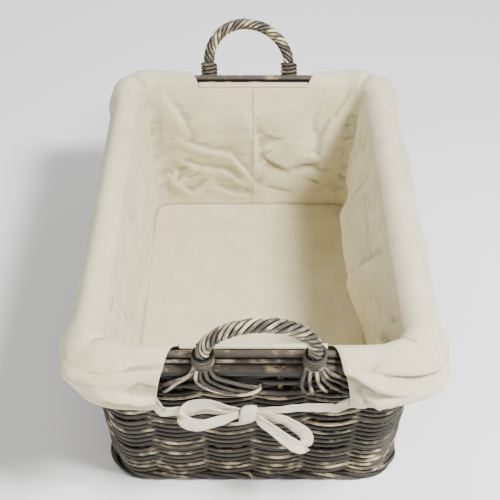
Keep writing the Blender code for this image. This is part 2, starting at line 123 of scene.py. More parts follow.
def runs(z):
    """Lengths of the straight sides and corner arcs in turn, from the front's middle towards +X."""
    half_width, half_length, radius = outline(z)
    flat_x, flat_y, arc = half_width - radius, half_length - radius, math.pi / 2 * radius
    return [flat_x, arc, 2 * flat_y, arc, 2 * flat_x, arc, 2 * flat_y, arc, flat_x]


RUNS = runs(RIM_Z / 2)
GIRTH = sum(RUNS)
CORNER_SHARE = (RUNS[0] + RUNS[1] / 2) / GIRTH
CORNER_SHARES = (CORNER_SHARE, 0.5 - CORNER_SHARE, 0.5 + CORNER_SHARE, 1 - CORNER_SHARE)


def locate(share):
    """Which straight side or corner arc that share of the way round falls on, and how far along it."""
    along = (share % 1.0) * GIRTH
    step = 0
    while step < len(RUNS) - 1 and along > RUNS[step]:
        along -= RUNS[step]
        step += 1
    return step, along / RUNS[step]


def outward(share):
    """The way straight out from the wall there."""
    step, part = locate(share)
    side, on_corner = divmod(step, 2)
    turn = math.pi / 2 * (side + part * on_corner)
    return Vector((math.sin(turn), -math.cos(turn), 0.0))


def wall_point(share, z, offset=0.0, at=None):
    """A point that share of the way round the outline of height z, moved outward, at height z or at."""
    step, part = locate(share)
    half_width, half_length, radius = outline(z)
    x, y = half_width - radius, half_length - radius
    centres = [Vector((*xy, 0.0)) for xy in ((0, -y), (x, -y), (x, y), (-x, y), (-x, -y), (0, -y))]
    side, on_corner = divmod(step, 2)
    centre = centres[side + 1] if on_corner else centres[side].lerp(centres[side + 1], part)
    point = centre + outward(share) * (radius + offset)
    point.z = z if at is None else at
    return point


def front_share(x, z):
    """Share at which the front's straight side is that far from its middle, at height z."""
    return x / runs(z)[0] * RUNS[0] / GIRTH


# --- Node building -----------------------------------------------------------------------------

class Value:
    """An output socket that can stand in an expression: each operator adds its own Math node."""

    def __init__(self, tree, socket):
        self.tree, self.socket = tree, socket

    def other(self, name):
        """Another output of the same node."""
        return Value(self.tree, self.socket.node.outputs[name])

    def math(self, operation, *terms):
        return add(self.tree, "ShaderNodeMath", {"operation": operation}, dict(enumerate(terms)))

    def __add__(self, other):
        return self.math("ADD", self, other)

    def __sub__(self, other):
        return self.math("SUBTRACT", self, other)

    def __mul__(self, other):
        return self.math("MULTIPLY", self, other)

    def __truediv__(self, other):
        return self.math("DIVIDE", self, other)

    def __rsub__(self, other):
        return self.math("SUBTRACT", other, self)

    __radd__, __rmul__ = __add__, __mul__

    def sin(self):
        return self.math("SINE", self)

    def cos(self):
        return self.math("COSINE", self)

    def between(self, low, high):
        """0 below low, 1 above high, and a smooth step from one to the other."""
        inputs = {"Value": self, "From Min": low, "From Max": high}
        return add(self.tree, "ShaderNodeMapRange", {"interpolation_type": "SMOOTHSTEP"}, inputs)


def find_socket(sockets, key):
    live = [socket for socket in sockets if socket.enabled]
    if isinstance(key, int):
        return live[key]
    return next(socket for socket in live if key in (socket.name, socket.identifier))


def add(tree, kind, settings=None, inputs=None, output=0):
    """A node of that kind with its settings made first, then its sockets' values or links."""
    node = tree.nodes.new(kind)
    for name, value in (settings or {}).items():
        setattr(node, name, value)
    for key, value in (inputs or {}).items():
        socket = find_socket(node.inputs, key)
        if isinstance(value, Value):
            tree.links.new(value.socket, socket)
        else:
            socket.default_value = value
    return Value(tree, find_socket(node.outputs, output)) if node.outputs else node


def blend_colour(tree, share, a, b):
    a, b = (colour if isinstance(colour, Value) else (*colour, 1.0) for colour in (a, b))
    return add(tree, "ShaderNodeMix", {"data_type": "RGBA"}, {"Factor": share, "A": a, "B": b})


def vector(tree, x, y, z):
    return add(tree, "ShaderNodeCombineXYZ", None, {0: x, 1: y, 2: z})


def scaled(tree, value, factor):
    return add(tree, "ShaderNodeVectorMath", {"operation": "SCALE"}, {0: value, "Scale": factor})


def combined(tree, operation, *terms, output=0):
    return add(tree, "ShaderNodeVectorMath", {"operation": operation}, dict(enumerate(terms)), output)


def vector_sum(tree, a, b):
    return combined(tree, "ADD", a, b)


def grain(tree, place, scale, detail=3.0, roughness=0.55):
    inputs = {"Vector": place, "Scale": scale, "Detail": detail, "Roughness": roughness}
    return add(tree, "ShaderNodeTexNoise", None, inputs, "Fac")


# --- Geometry trees ----------------------------------------------------------------------------

def start_tree(name, sizes):
    tree = bpy.data.node_groups.new(name, "GeometryNodeTree")
    tree.interface.new_socket("Geometry", in_out="INPUT", socket_type="NodeSocketGeometry")
    for label, kind in sizes.items():
        tree.interface.new_socket(label, in_out="INPUT", socket_type=f"NodeSocket{kind}")
    tree.interface.new_socket("Geometry", in_out="OUTPUT", socket_type="NodeSocketGeometry")
    start = tree.nodes.new("NodeGroupInput")
    return tree, {socket.name: Value(tree, socket) for socket in start.outputs if socket.name}


def end_tree(tree, geometry, material):
    real = add(tree, "GeometryNodeRealizeInstances", None, {"Geometry": geometry})
    done = add(tree, "GeometryNodeSetMaterial", None, {"Geometry": real, "Material": material})
    add(tree, "NodeGroupOutput", None, {"Geometry": done})


def read(tree, name, kind="FLOAT"):
    return add(tree, "GeometryNodeInputNamedAttribute", {"data_type": kind}, {"Name": name}, "Attribute")


def store(tree, geometry, name, value, kind="FLOAT", domain="POINT"):
    inputs = {"Geometry": geometry, "Name": name, "Value": value}
    return add(tree, "GeometryNodeStoreNamedAttribute", {"data_type": kind, "domain": domain}, inputs)


def copied(tree, curve, amount):
    """That many copies of each curve, and the number of each copy."""
    inputs = {"Geometry": curve, "Amount": amount}
    copies = add(tree, "GeometryNodeDuplicateElements", {"domain": "SPLINE"}, inputs, "Geometry")
    return copies, copies.other("Duplicate Index")


def chance(tree, number, seed):
    """A random value from 0 to 1 for that number."""
    inputs = {"Min": 0.0, "Max": 1.0, "ID": number, "Seed": seed}
    return add(tree, "FunctionNodeRandomValue", {"data_type": "FLOAT"}, inputs)


def round_rod(tree, curve, thick, radius, sides):
    """The curve as a round rod, which knows how far each point is round it and whether it faces out."""
    curve = add(tree, "GeometryNodeSetCurveRadius", None, {"Curve": curve, "Radius": thick})
    profile = {"Resolution": sides, "Radius": radius}
    circle = add(tree, "GeometryNodeCurvePrimitiveCircle", {"mode": "RADIUS"}, profile)
    circle = store(tree, circle, "around", add(tree, "GeometryNodeSplineParameter", None, None, "Factor"))
    rod = {"Curve": curve, "Profile Curve": circle, "Fill Caps": True}
    rod = add(tree, "GeometryNodeCurveToMesh", None, rod)
    normal, out = add(tree, "GeometryNodeInputNormal"), read(tree, "out", "FLOAT_VECTOR")
    return store(tree, rod, "face", combined(tree, "DOT_PRODUCT", normal, out, output="Value"))


def woven_rows_tree():
    """Rows of cane that wave in and out of the ribs between a low and a high ring."""
    numbers = ("Low", "High", "Swing", "Beat", "Shift", "Stand", "Radius", "Unevenness")
    sizes = {"Rows": "Int", **dict.fromkeys(numbers, "Float"), "Seed": "Int", "Material": "Material"}
    tree, size = start_tree("woven_rows", sizes)
    ring = add(tree, "GeometryNodeMeshToCurve", None, {"Mesh": size["Geometry"]})
    rows, row = copied(tree, ring, size["Rows"])
    tone = chance(tree, row, size["Seed"])
    rows = store(tree, rows, "row", row)
    rows = store(tree, rows, "tone", tone)
    row, tone = read(tree, "row"), read(tree, "tone")
    place = read(tree, "ring", "FLOAT_VECTOR")
    jitter = vector_sum(tree, scaled(tree, place, 9.0), vector(tree, row * 3.7, row * 1.9, tone * 5.0))
    rough = grain(tree, jitter, 1.0, 1.0, 0.5) - 0.5
    height = size["Low"] + (size["High"] - size["Low"]) * row / (size["Rows"] - 1.0)
    wave = (read(tree, "stake") * size["Beat"] + row * size["Shift"]).cos()
    swing = size["Swing"] * wave * (1.0 + rough * 0.5) + size["Stand"]
    lifted = scaled(tree, read(tree, "climb", "FLOAT_VECTOR"), height)
    out = scaled(tree, read(tree, "out", "FLOAT_VECTOR"), swing)
    bent = vector(tree, 0.0, 0.0, rough * size["Unevenness"])
    position = vector_sum(tree, vector_sum(tree, place, lifted), vector_sum(tree, out, bent))
    rows = add(tree, "GeometryNodeSetPosition", None, {"Geometry": rows, "Position": position})
    thick = 0.86 + tone * 0.24 + rough * 0.35
    end_tree(tree, round_rod(tree, rows, thick, size["Radius"], 8), size["Material"])
    return tree


def laid_rods_tree():
    """Rods that follow a path: one down its middle, or several laid round it like the strands of a rope."""
    sizes = {"Strands": "Int", "Lay": "Float", "Spread": "Float", "Radius": "Float", "Sides": "Int",
             "Step": "Float", "Seed": "Int", "Material": "Material"}
    tree, size = start_tree("laid_rods", sizes)
    path = add(tree, "GeometryNodeMeshToCurve", None, {"Mesh": size["Geometry"]})
    path = add(tree, "GeometryNodeResampleCurve", {"mode": "LENGTH"}, {"Curve": path, "Length": size["Step"]})
    path = store(tree, path, "path", add(tree, "GeometryNodeInputIndex"), domain="CURVE")
    path = store(tree, path, "reach", add(tree, "GeometryNodeSplineParameter", None, None, "Length"))
    rods, strand = copied(tree, path, size["Strands"])
    rods = store(tree, rods, "strand", strand)
    strand, reach = read(tree, "strand"), read(tree, "reach")
    tone = chance(tree, strand + read(tree, "path") * 17.0, size["Seed"])
    rods = store(tree, rods, "tone", tone)
    normal = add(tree, "GeometryNodeInputNormal")
    side = combined(tree, "CROSS_PRODUCT", add(tree, "GeometryNodeInputTangent"), normal)
    turn = (strand / size["Strands"] + reach / size["Lay"]) * (2 * math.pi)
    radial = vector_sum(tree, scaled(tree, normal, turn.cos()), scaled(tree, side, turn.sin()))
    shift = scaled(tree, radial, size["Spread"])
    spread_out = vector_sum(tree, scaled(tree, shift, 1000.0), read(tree, "out", "FLOAT_VECTOR"))
    rods = store(tree, rods, "out", combined(tree, "NORMALIZE", spread_out), "FLOAT_VECTOR")
    rods = add(tree, "GeometryNodeSetPosition", None, {"Geometry": rods, "Offset": shift})
    thick = 0.92 + read(tree, "tone") * 0.16
    end_tree(tree, round_rod(tree, rods, thick, size["Radius"], size["Sides"]), size["Material"])
    return tree


def stitches_tree():
    """Short rounded stitches end to end along a seam."""
    sizes = {"Pitch": "Float", "Length": "Float", "Radius": "Float", "Material": "Material"}
    tree, size = start_tree("stitches", sizes)
    seam = add(tree, "GeometryNodeMeshToCurve", None, {"Mesh": size["Geometry"]})
    inputs = {"Curve": seam, "Length": size["Pitch"]}
    spots = add(tree, "GeometryNodeCurveToPoints", {"mode": "LENGTH"}, inputs, "Points")
    thread = add(tree, "GeometryNodeMeshUVSphere", None, {"Segments": 6, "Rings": 4, "Radius": 1.0}, "Mesh")
    shape = vector(tree, size["Radius"], size["Radius"], size["Length"] * 0.5)
    places = {"Points": spots, "Instance": thread, "Scale": shape, "Rotation": spots.other("Rotation")}
    end_tree(tree, add(tree, "GeometryNodeInstanceOnPoints", None, places), size["Material"])
    return tree


def guide_mesh(name, lines, closed=False, **attributes):
    """Polylines as one mesh of edges, with a value for each point under each attribute's name."""
    mesh = bpy.data.meshes.new(name)
    points, edges = [], []
    for line in lines:
        first = len(points)
        points += [tuple(point) for point in line]
        edges += [(first + i, first + i + 1) for i in range(len(line) - 1)]
        if closed:
            edges.append((len(points) - 1, first))
    mesh.from_pydata(points, edges, [])
    for label, values in attributes.items():
        is_vector = hasattr(values[0], "__len__")
        layer = mesh.attributes.new(label, "FLOAT_VECTOR" if is_vector else "FLOAT", "POINT")
        layer.data.foreach_set("vector" if is_vector else "value", np.array(values, float).ravel())
    return mesh


def grown(name, tree, guide, values):
    """What the tree makes on the guide, as a plain smooth mesh object with its faces pointing out."""
    holder = bpy.data.objects.new(name + "_guide", guide)
    bpy.context.scene.collection.objects.link(holder)
    modifier = holder.modifiers.new("grow", "NODES")
    modifier.node_group = tree
    for item in tree.interface.items_tree:
        if item.item_type == "SOCKET" and item.in_out == "INPUT" and item.name in values:
            modifier[item.identifier] = values[item.name]
    graph = bpy.context.evaluated_depsgraph_get()
    made = holder.evaluated_get(graph)
    mesh = bpy.data.meshes.new_from_object(made, preserve_all_data_layers=True, depsgraph=graph)
    bpy.data.objects.remove(holder)
    return placed(name, mesh)


def placed(name, mesh):
    """A smooth object of that mesh, at the origin."""
    shape = bmesh.new()
    shape.from_mesh(mesh)
    if shape.calc_volume(signed=True) < 0:
        bmesh.ops.reverse_faces(shape, faces=shape.faces)
    shape.to_mesh(mesh)
    shape.free()
    mesh.polygons.foreach_set("use_smooth", [True] * len(mesh.polygons))
    mesh.name = name
    piece = bpy.data.objects.new(name, mesh)
    bpy.context.scene.collection.objects.link(piece)
    return piece


def merged(name, meshes, weld=0.0):
    """Several meshes as one, in which points nearer to each other than weld become one."""
    shape = bmesh.new()
    for mesh in meshes:
        shape.from_mesh(mesh)
    if weld:
        bmesh.ops.remove_doubles(shape, verts=shape.verts, dist=weld)
    made = bpy.data.meshes.new(name)
    shape.to_mesh(made)
    shape.free()
    return made


def joined(name, pieces):
    """Several pieces of one material as one object."""
    mesh = merged(name, [piece.data for piece in pieces])
    mesh.materials.append(pieces[0].data.materials[0])
    for piece in pieces:
        bpy.data.objects.remove(piece)
    return placed(name, mesh)


def finish_piece(piece, body, slot, *nodes):
    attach(piece, body)
    if nodes:
        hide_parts(*nodes)
    return piece


# --- Materials ---------------------------------------------------------------------------------

def start_material(name, roughness):
    material = bpy.data.materials.new(name)
    material.use_nodes = True
    tree = material.node_tree
    tree.nodes.clear()
    shader = add(tree, "ShaderNodeBsdfPrincipled", None, {"Roughness": roughness})
    add(tree, "ShaderNodeOutputMaterial", None, {"Surface": shader})
    return material, tree, shader.socket.node


def feed(tree, shader, **inputs):
    for name, value in inputs.items():
        tree.links.new(value.socket, shader.inputs[name.replace("_", " ")])


def attribute(tree, name):
    return add(tree, "ShaderNodeAttribute", {"attribute_name": name}, None, "Fac")


def darker(colour, share):
    return tuple(channel * share for channel in colour)


def washed_cane(name, dark, brown, pale, rub_and_highlight_strength=1.0, ready=1.5, groove_shade_range=(-0.1, 0.7)):
    """Cane that was washed dark and rubbed back: pale where it stands proud, which is partly painted
    highlight, and dark down in the gaps, which is partly painted shade.
    """
    material, tree, shader = start_material(name, 0.6)
    tone, along, around, face = (attribute(tree, label) for label in ("tone", "reach", "around", "face"))
    place = add(tree, "ShaderNodeTexCoord", None, None, "Object")
    turn = around * (2 * math.pi)
    ring = vector(tree, turn.cos() * 0.8, turn.sin() * 0.8, tone * 40.0)
    fibre = grain(tree, vector_sum(tree, ring, vector(tree, 0.0, 0.0, along * 22.0)), 6.0, 4.0, 0.65)
    patch_place = vector_sum(tree, scaled(tree, place, 30.0), vector(tree, tone * 31.0, tone * 17.0, 0.0))
    patch = grain(tree, patch_place, 1.0, 2.5, 0.6)
    speck = grain(tree, scaled(tree, place, 900.0), 1.0, 2.0)
    # How far each point faces the rod's out way: the pale rubbed patches fall only there, partly wear and
    # partly painted highlight.
    rubbed_and_lit_side = face.between(*groove_shade_range)
    rub_and_highlight = (patch * 1.6 + tone * 0.45 + fibre * 1.2 - ready).between(0.0, 0.22) * rubbed_and_lit_side * rub_and_highlight_strength
    body = blend_colour(tree, (fibre * 1.2 + tone * 0.4 - 0.45).between(0.0, 0.5), dark, brown)
    # Painted shade: the side turned away from the out way is made near black, partly the wash in the gaps and
    # partly shade painted in.
    body = blend_colour(tree, rubbed_and_lit_side, darker(dark, 0.3), body)
    nick = (speck - 0.60).between(0.0, 0.12) * 0.55
    colour = blend_colour(tree, nick, blend_colour(tree, rub_and_highlight, body, pale), darker(dark, 0.6))
    bump = {"Height": fibre * 0.6 + speck * 0.3 - nick * 0.5, "Strength": 0.6, "Distance": 0.0007}
    bump = add(tree, "ShaderNodeBump", None, bump, "Normal")
    feed(tree, shader, Base_Color=colour, Roughness=0.72 - rub_and_highlight * 0.12 - fibre * 0.2, Normal=bump)
    return material


def canvas(name, colour, shade, thread=0.0011):
    """Plain-woven cotton: warp and weft that cross in turn, with slubs, and painted shade that darkens it
    down in its folds.
    """
    material, tree, shader = start_material(name, 0.9)
    place = add(tree, "ShaderNodeUVMap", {"uv_map": "cloth"}, None, "UV")
    across = add(tree, "ShaderNodeSeparateXYZ", None, {0: place}, "X")
    up = across.other("Y")
    checks = (across * (2 * math.pi / thread)).sin() * (up * (2 * math.pi / thread)).sin()
    slub_along = grain(tree, vector(tree, across * 60.0, up * 900.0, 0.0), 1.0, 2.0)
    slub_up = grain(tree, vector(tree, across * 900.0, up * 60.0, 3.0), 1.0, 2.0)
    blotch = grain(tree, scaled(tree, place, 22.0), 1.0, 4.0)
    mottle = (slub_along + slub_up) * 0.5
    mixed = blend_colour(tree, (mottle * 0.8 + blotch * 0.5 - 0.15).between(0.25, 0.75), shade, colour)
    fleck = (grain(tree, scaled(tree, place, 420.0), 1.0, 1.0) - 0.70).between(0.0, 0.06) * 0.25
    mixed = blend_colour(tree, fleck, mixed, darker(shade, 0.72))
    # Painted shade: the colour is darkened by how deep each point lies in a fold, standing in for the shade
    # there.
    valley = attribute(tree, "valley").between(0.0, 1.0) * 0.72
    mixed = blend_colour(tree, valley, mixed, darker(shade, 0.50))
    bump = {"Height": checks * 0.22 + mottle * 0.9, "Strength": 0.9, "Distance": 0.0006}
    bump = add(tree, "ShaderNodeBump", None, bump, "Normal")
    feed(tree, shader, Base_Color=mixed, Roughness=0.86 + mottle * 0.12, Normal=bump)
    shader.inputs["Sheen Weight"].default_value = 0.18
    shader.inputs["Sheen Roughness"].default_value = 0.6
    return material


DARK_WASH = (0.008, 0.007, 0.006)
RIM_WASH = (0.014, 0.012, 0.010)
WEAVING = washed_cane("weaving_cane", DARK_WASH, (0.062, 0.050, 0.034), (0.70, 0.56, 0.33), 1.0, 1.80)
WALE_CANE = washed_cane("wale_cane", DARK_WASH, (0.070, 0.055, 0.038), (0.60, 0.46, 0.26), 0.9, 1.86)
RIM_CANE = washed_cane("rim_cane", RIM_WASH, (0.080, 0.062, 0.042), (0.44, 0.33, 0.19), 0.75, 1.80)
SPLAY_CANE = washed_cane("splayed_cane", RIM_WASH, (0.130, 0.108, 0.074), (0.76, 0.62, 0.38), 1.0, 1.66,
                         (0.30, 0.85))
HANDLE_CANE = washed_cane("handle_cane", (0.018, 0.016, 0.012), (0.18, 0.150, 0.10), (0.84, 0.70, 0.43), 1.0,
                          1.50, (0.25, 0.75))
LINER_COTTON = canvas("liner_cotton", (0.80, 0.735, 0.52), (0.64, 0.56, 0.33))
TAPE_COTTON = canvas("tape_cotton", (0.80, 0.745, 0.58), (0.66, 0.60, 0.43))
SEAM_COTTON = canvas("seam_cotton", (0.66, 0.60, 0.43), (0.52, 0.45, 0.30))
THREAD = canvas("sewing_thread", (0.76, 0.70, 0.52), (0.56, 0.49, 0.34))

WOVEN_ROWS = woven_rows_tree()
LAID_RODS = laid_rods_tree()
STITCHES = stitches_tree()


def rods(name, lines, outs, radius, material, sides=10, step=0.004, seed=1, closed=False, rope=(1, 1.0, 0.0)):
    """Rods along those lines; outs gives, for each line, the way that its rubbed side faces, which also gets
    painted highlight while the side turned away gets painted shade.

    A rope has so many strands, one turn in so many metres, laid that far from its middle.
    """
    facing = [tuple(out) for line, out in zip(lines, outs) for _ in line]
    guide = guide_mesh(name, lines, closed, out=facing)
    strands, lay, spread = rope
    values = {"Strands": strands, "Lay": lay, "Spread": spread, "Radius": radius, "Sides": sides,
              "Step": step, "Seed": seed, "Material": material}
    return grown(name, LAID_RODS, guide, values)


def smooth_line(points, steps=6):
    """The points with a smooth curve drawn through them."""
    points = [Vector(point) for point in points]
    line = []
    for i in range(len(points) - 1):
        before, a = points[max(i - 1, 0)], points[i]
        b, after = points[i + 1], points[min(i + 2, len(points) - 1)]
        for step in range(steps):
            t = step / steps
            line.append(0.5 * (2 * a + (b - before) * t + (2 * before - 5 * a + 4 * b - after) * t * t
                               + (3 * a - before - 3 * b + after) * t ** 3))
    return [*line, points[-1]]


# --- Woven wall --------------------------------------------------------------------------------

RING_STEPS = 10
ROD_RADIUS = 0.0027
ROW_PITCH = 0.0041
UNEVENNESS = 0.0028
WEAVE_FROM = 0.0105
WALE_FROM = 0.176
WALE_PITCH = 0.0058
WALE_RADIUS = 0.0032
WALE_SWING = 0.0062
WALE_STAND = 0.0022


def wall_guide(name):
    """The ground ring that the rows of weaving climb from."""
    count = RIB_COUNT * RING_STEPS
    shares = [i / count for i in range(count)]
    low = [wall_point(share, 0.0) for share in shares]
    climb = [(wall_point(share, RIM_Z) - wall_point(share, 0.0)) / RIM_Z for share in shares]
    out = [outward(share) for share in shares]
    stake = [share * RIB_COUNT - 0.5 for share in shares]
    reach = [share * GIRTH for share in shares]
    return guide_mesh(name, [low], True, ring=low, climb=climb, out=out, stake=stake, reach=reach)


def woven_band(name, low, high, pitch, wave, stand, radius, seed, material):
    """Rows of canes between two heights; wave is how far they swing, and how fast from rib and row to row."""
    swing, beat = wave
    values = {"Rows": max(2, round((high - low) / pitch) + 1), "Low": low, "High": high, "Swing": swing,
              "Beat": beat, "Shift": beat, "Stand": stand, "Radius": radius, "Unevenness": UNEVENNESS,
              "Seed": seed, "Material": material}
    return grown(name, WOVEN_ROWS, wall_guide(name), values)


def build_wall():
    """Three bands of plain weaving, then a band of thicker canes that each pass over two ribs."""
    rows = round((WALE_FROM - WEAVE_FROM) / ROW_PITCH / 3)
    edges = [WEAVE_FROM + rows * ROW_PITCH * i for i in range(4)]
    plain = (RIB_RADIUS + ROD_RADIUS, math.pi)
    hidden = (("foot_border", "upsett_rod_1", "upsett_rod_2", "weave_course_1"),
              ("weave_course_2", "weave_course_3"), ("weave_course_4", "weave_course_5"))
    for i, nodes in enumerate(hidden):
        band = woven_band(f"wall_weave_{i + 1}", edges[i], edges[i + 1] - ROW_PITCH, ROW_PITCH, plain, 0.0,
                          ROD_RADIUS, 11 + i, WEAVING)
        finish_piece(band, "basket", "weaving_cane", *nodes)
    wale = woven_band("wall_wale", edges[3], HOOP_Z - OUTER_RADIUS, WALE_PITCH, (WALE_SWING, 2 * math.pi / 3),
                      WALE_STAND, WALE_RADIUS, 21, WALE_CANE)
    finish_piece(wale, "basket", "weaving_cane", "weave_course_6")


# --- Ribs, floor and foot ----------------------------------------------------------------------

RIB_FOOT_Z = 0.016
FLOOR_Z_MIDDLE = 0.0095
FLOOR_ROD_RADIUS = 0.0026


def rib_share(number):
    """Where a rib of the front is, counted from the left."""
    return (number - FRONT_RIBS // 2 + 0.5) / RIB_COUNT


def build_ribs():
    """The ribs up the walls and under the floor."""
    lines, outs = [], []
    for number in range(RIB_COUNT):
        share = (number + 0.5) / RIB_COUNT
        lines.append([wall_point(share, RIB_FOOT_Z), wall_point(share, TOP_ROD_Z - TOP_RADIUS)])
        outs.append(outward(share))
    for share in map(rib_share, range(FRONT_RIBS)):
        lines.append([wall_point(end, 0.0, -0.004, at=FLOOR_Z_MIDDLE) for end in (share, 0.5 - share)])
        outs.append(-UP)
    ribs = rods("wall_ribs", lines, outs, RIB_RADIUS, RIM_CANE, step=0.01, seed=3)
    names = [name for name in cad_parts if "_rib_" in name]
    finish_piece(ribs, "basket", "rib_cane", *names)


def build_floor():
    """Canes woven from side to side under and over the long ribs."""
    half_width, half_length, radius = outline(0.0)
    lines = []
    count = round(2 * half_length / (2.05 * FLOOR_ROD_RADIUS))
    first, second = (wall_point(rib_share(number), 0.0).x for number in (0, 1))
    swing = (RIB_RADIUS + FLOOR_ROD_RADIUS) * 0.8
    for i in range(count):
        y = mix(-half_length, half_length, (i + 0.5) / count)
        inset = radius - math.sqrt(max(radius ** 2 - max(abs(y) - half_length + radius, 0.0) ** 2, 0.0))
        reach = half_width - inset - 0.002
        lines.append([(x, y, FLOOR_Z_MIDDLE + swing * math.cos((x - first) / (second - first) * math.pi
                                                               + i * math.pi))
                      for x in evenly(-reach, reach, 48)])
    outs = [-UP if i % 2 else UP for i in range(count)]
    floor = rods("floor_weave", lines, outs, FLOOR_ROD_RADIUS, WEAVING, sides=6, step=0.009, seed=5)
    finish_piece(floor, "basket", "weaving_cane", "floor_mat")


def ring_line(z, offset, steps=6):
    """Once round the basket at that height, that far outside the wall's middle plane."""
    shares = [i / (RIB_COUNT * steps) for i in range(RIB_COUNT * steps)]
    return [wall_point(share, z, offset) for share in shares]


def build_foot():
    """The border that it stands on: three canes laid together round the bottom edge."""
    line = ring_line(FOOT_RADIUS + 0.0012, HALF_GAP + FOOT_RADIUS - 0.001)
    rope = rods("foot_rope", [line], [STILL], FLOOR_ROD_RADIUS, WEAVING, sides=8, step=0.005, seed=7,
                closed=True, rope=(3, 0.11, 0.0024))
    finish_piece(rope, "basket", "weaving_cane")


# --- Rim ---------------------------------------------------------------------------------------

THIN_CANE = 0.0026


def build_rim():
    """Two thick hoops, with a brown rod over the rib ends and thin canes beside them."""
    hoops = (("outer_hoop_rod", HOOP_Z, OUTER_OFFSET, OUTER_RADIUS, 16, 0.008, 9, ["outer_hoop"]),
             ("inner_hoop_rod", HOOP_Z, INNER_OFFSET, INNER_RADIUS, 16, 0.008, 9, ["inner_hoop"]),
             ("top_rim_rod", TOP_ROD_Z, 0.0, TOP_RADIUS, 12, 0.006, 12,
              [f"top_rod_{side}" for side in ("front", "right", "back", "left")]))
    for name, z, offset, radius, sides, step, seed, nodes in hoops:
        # The hoops' rubbed side faces up: pale patches and painted highlight on their tops, painted shade on
        # their undersides.
        hoop = rods(name, [ring_line(z, offset)], [UP], radius, RIM_CANE, sides, step, seed, closed=True)
        finish_piece(hoop, "basket", "rim_cane", *nodes)
    beside = TOP_RADIUS + 0.0022
    thin = [ring_line(TOP_ROD_Z - 0.004, beside), ring_line(TOP_ROD_Z - 0.004, -beside),
            ring_line(HOOP_Z - OUTER_RADIUS - 0.001, OUTER_OFFSET + 0.0005)]
    # The thin canes also face up: painted highlight on their tops, painted shade underneath.
    canes = rods("rim_canes", thin, [UP] * 3, THIN_CANE, WEAVING, sides=8, step=0.007, seed=14, closed=True)
    finish_piece(canes, "basket", "weaving_cane")


# --- Handles -----------------------------------------------------------------------------------

HANDLE_LEAN = math.radians(18)
HANDLE_STRAND = 0.00245
HANDLE_STRANDS = 6
HANDLE_LAY = -0.052
LASHING_CANE = 0.0025
HANDLE_SPAN = (LASHING_RIGHT[0].x + LASHING_RIGHT[1].x - LASHING_LEFT[0].x - LASHING_LEFT[1].x) / 2
HANDLE_MIDDLE = (WRAP[0].x + WRAP[1].x) / 2
WRAP_RADIUS = (WRAP[1].x - WRAP[0].x - HANDLE_SPAN) / 2
HANDLE_FOOT_Z = LASHING_LEFT[0].z + (LASHING_LEFT[1].x - LASHING_LEFT[0].x) / 2 * math.sin(HANDLE_LEAN)
HANDLE_FOOT_Y = -(outline(HOOP_Z)[1] + OUTER_OFFSET)
HANDLE_LEG = 0.018
HANDLE_RISE = WRAP[1].z - WRAP_RADIUS * math.cos(HANDLE_LEAN) - HANDLE_FOOT_Z - HANDLE_LEG
HANDLE_SWAY = 0.006
HANDLE_CORE = 0.0042
LASHING_HEIGHT = 0.0195
FAN_CANE = 0.0027


def handle_point(across, up):
    """A point of the front handle's leaning plane, across from its middle and up from its feet."""
    share = up / (HANDLE_LEG + HANDLE_RISE)
    x = HANDLE_MIDDLE + across + HANDLE_SWAY * share ** 2
    return Vector((x, HANDLE_FOOT_Y - up * math.tan(HANDLE_LEAN), HANDLE_FOOT_Z + up))


def handle_line():
    """The handle's middle line, from its right foot over to its left one."""
    half = HANDLE_SPAN / 2
    line = [handle_point(half, -0.006), handle_point(half, 0.0)]
    for angle in evenly(0, math.pi, 40):
        line.append(handle_point(half * math.cos(angle), HANDLE_LEG + HANDLE_RISE * math.sin(angle)))
    return [*line, handle_point(-half, 0.0), handle_point(-half, -0.006)]


def fan_offset(z):
    """How far out a splayed cane lies at that height: round the outer hoop, then down on the weaving."""
    round_hoop = OUTER_RADIUS + THIN_CANE
    rise = clamp((z - HOOP_Z) / round_hoop, -0.8, 0.95)
    on_hoop = OUTER_OFFSET + round_hoop * math.sqrt(1 - rise * rise)
    return mix(0.0150, on_hoop, smooth((z - HOOP_Z + 0.026) / 0.022))


def fan_line(foot_x, steps):
    """One splayed cane, through points given across and up from where the handle's foot is."""
    points = []
    for across, up in steps:
        z = HANDLE_FOOT_Z + up
        points.append((foot_x + across, -outline(z)[1] - fan_offset(z), z))
    last = Vector(points[-1])
    points.append(last + (last - Vector(points[-2])) * 0.3 + Vector((0, 0.007, 0)))
    return smooth_line(points)


# Canes that splay from each foot of a handle, left and right: millimetres across and up from the foot.
FANS = {
    -1: (((-4, 2), (-8, -14), (-5, -31), (12, -44), (38, -51), (57, -45)),
         ((-1, 1), (-3, -17), (4, -33), (18, -43), (31, -46)),
         ((3, 1), (4, -15), (13, -30), (28, -40), (46, -44)),
         ((6, 1), (12, -13), (26, -26), (44, -34), (58, -37)),
         ((-6, 1), (-15, -12), (-30, -24), (-44, -33)),
         ((-7, 0), (-18, -16), (-30, -30), (-42, -44))),
    1: (((-8, 1), (-12, -15), (-13, -33), (-10, -45)),
        ((-3, 1), (-5, -17), (-4, -33), (-1, -46)),
        ((2, 1), (3, -15), (6, -31), (14, -44)),
        ((6, 1), (13, -13), (26, -26), (42, -38)),
        ((8, 0), (18, -9), (31, -19), (45, -29)),
        ((4, 0), (9, -18), (19, -34), (36, -46))),
}


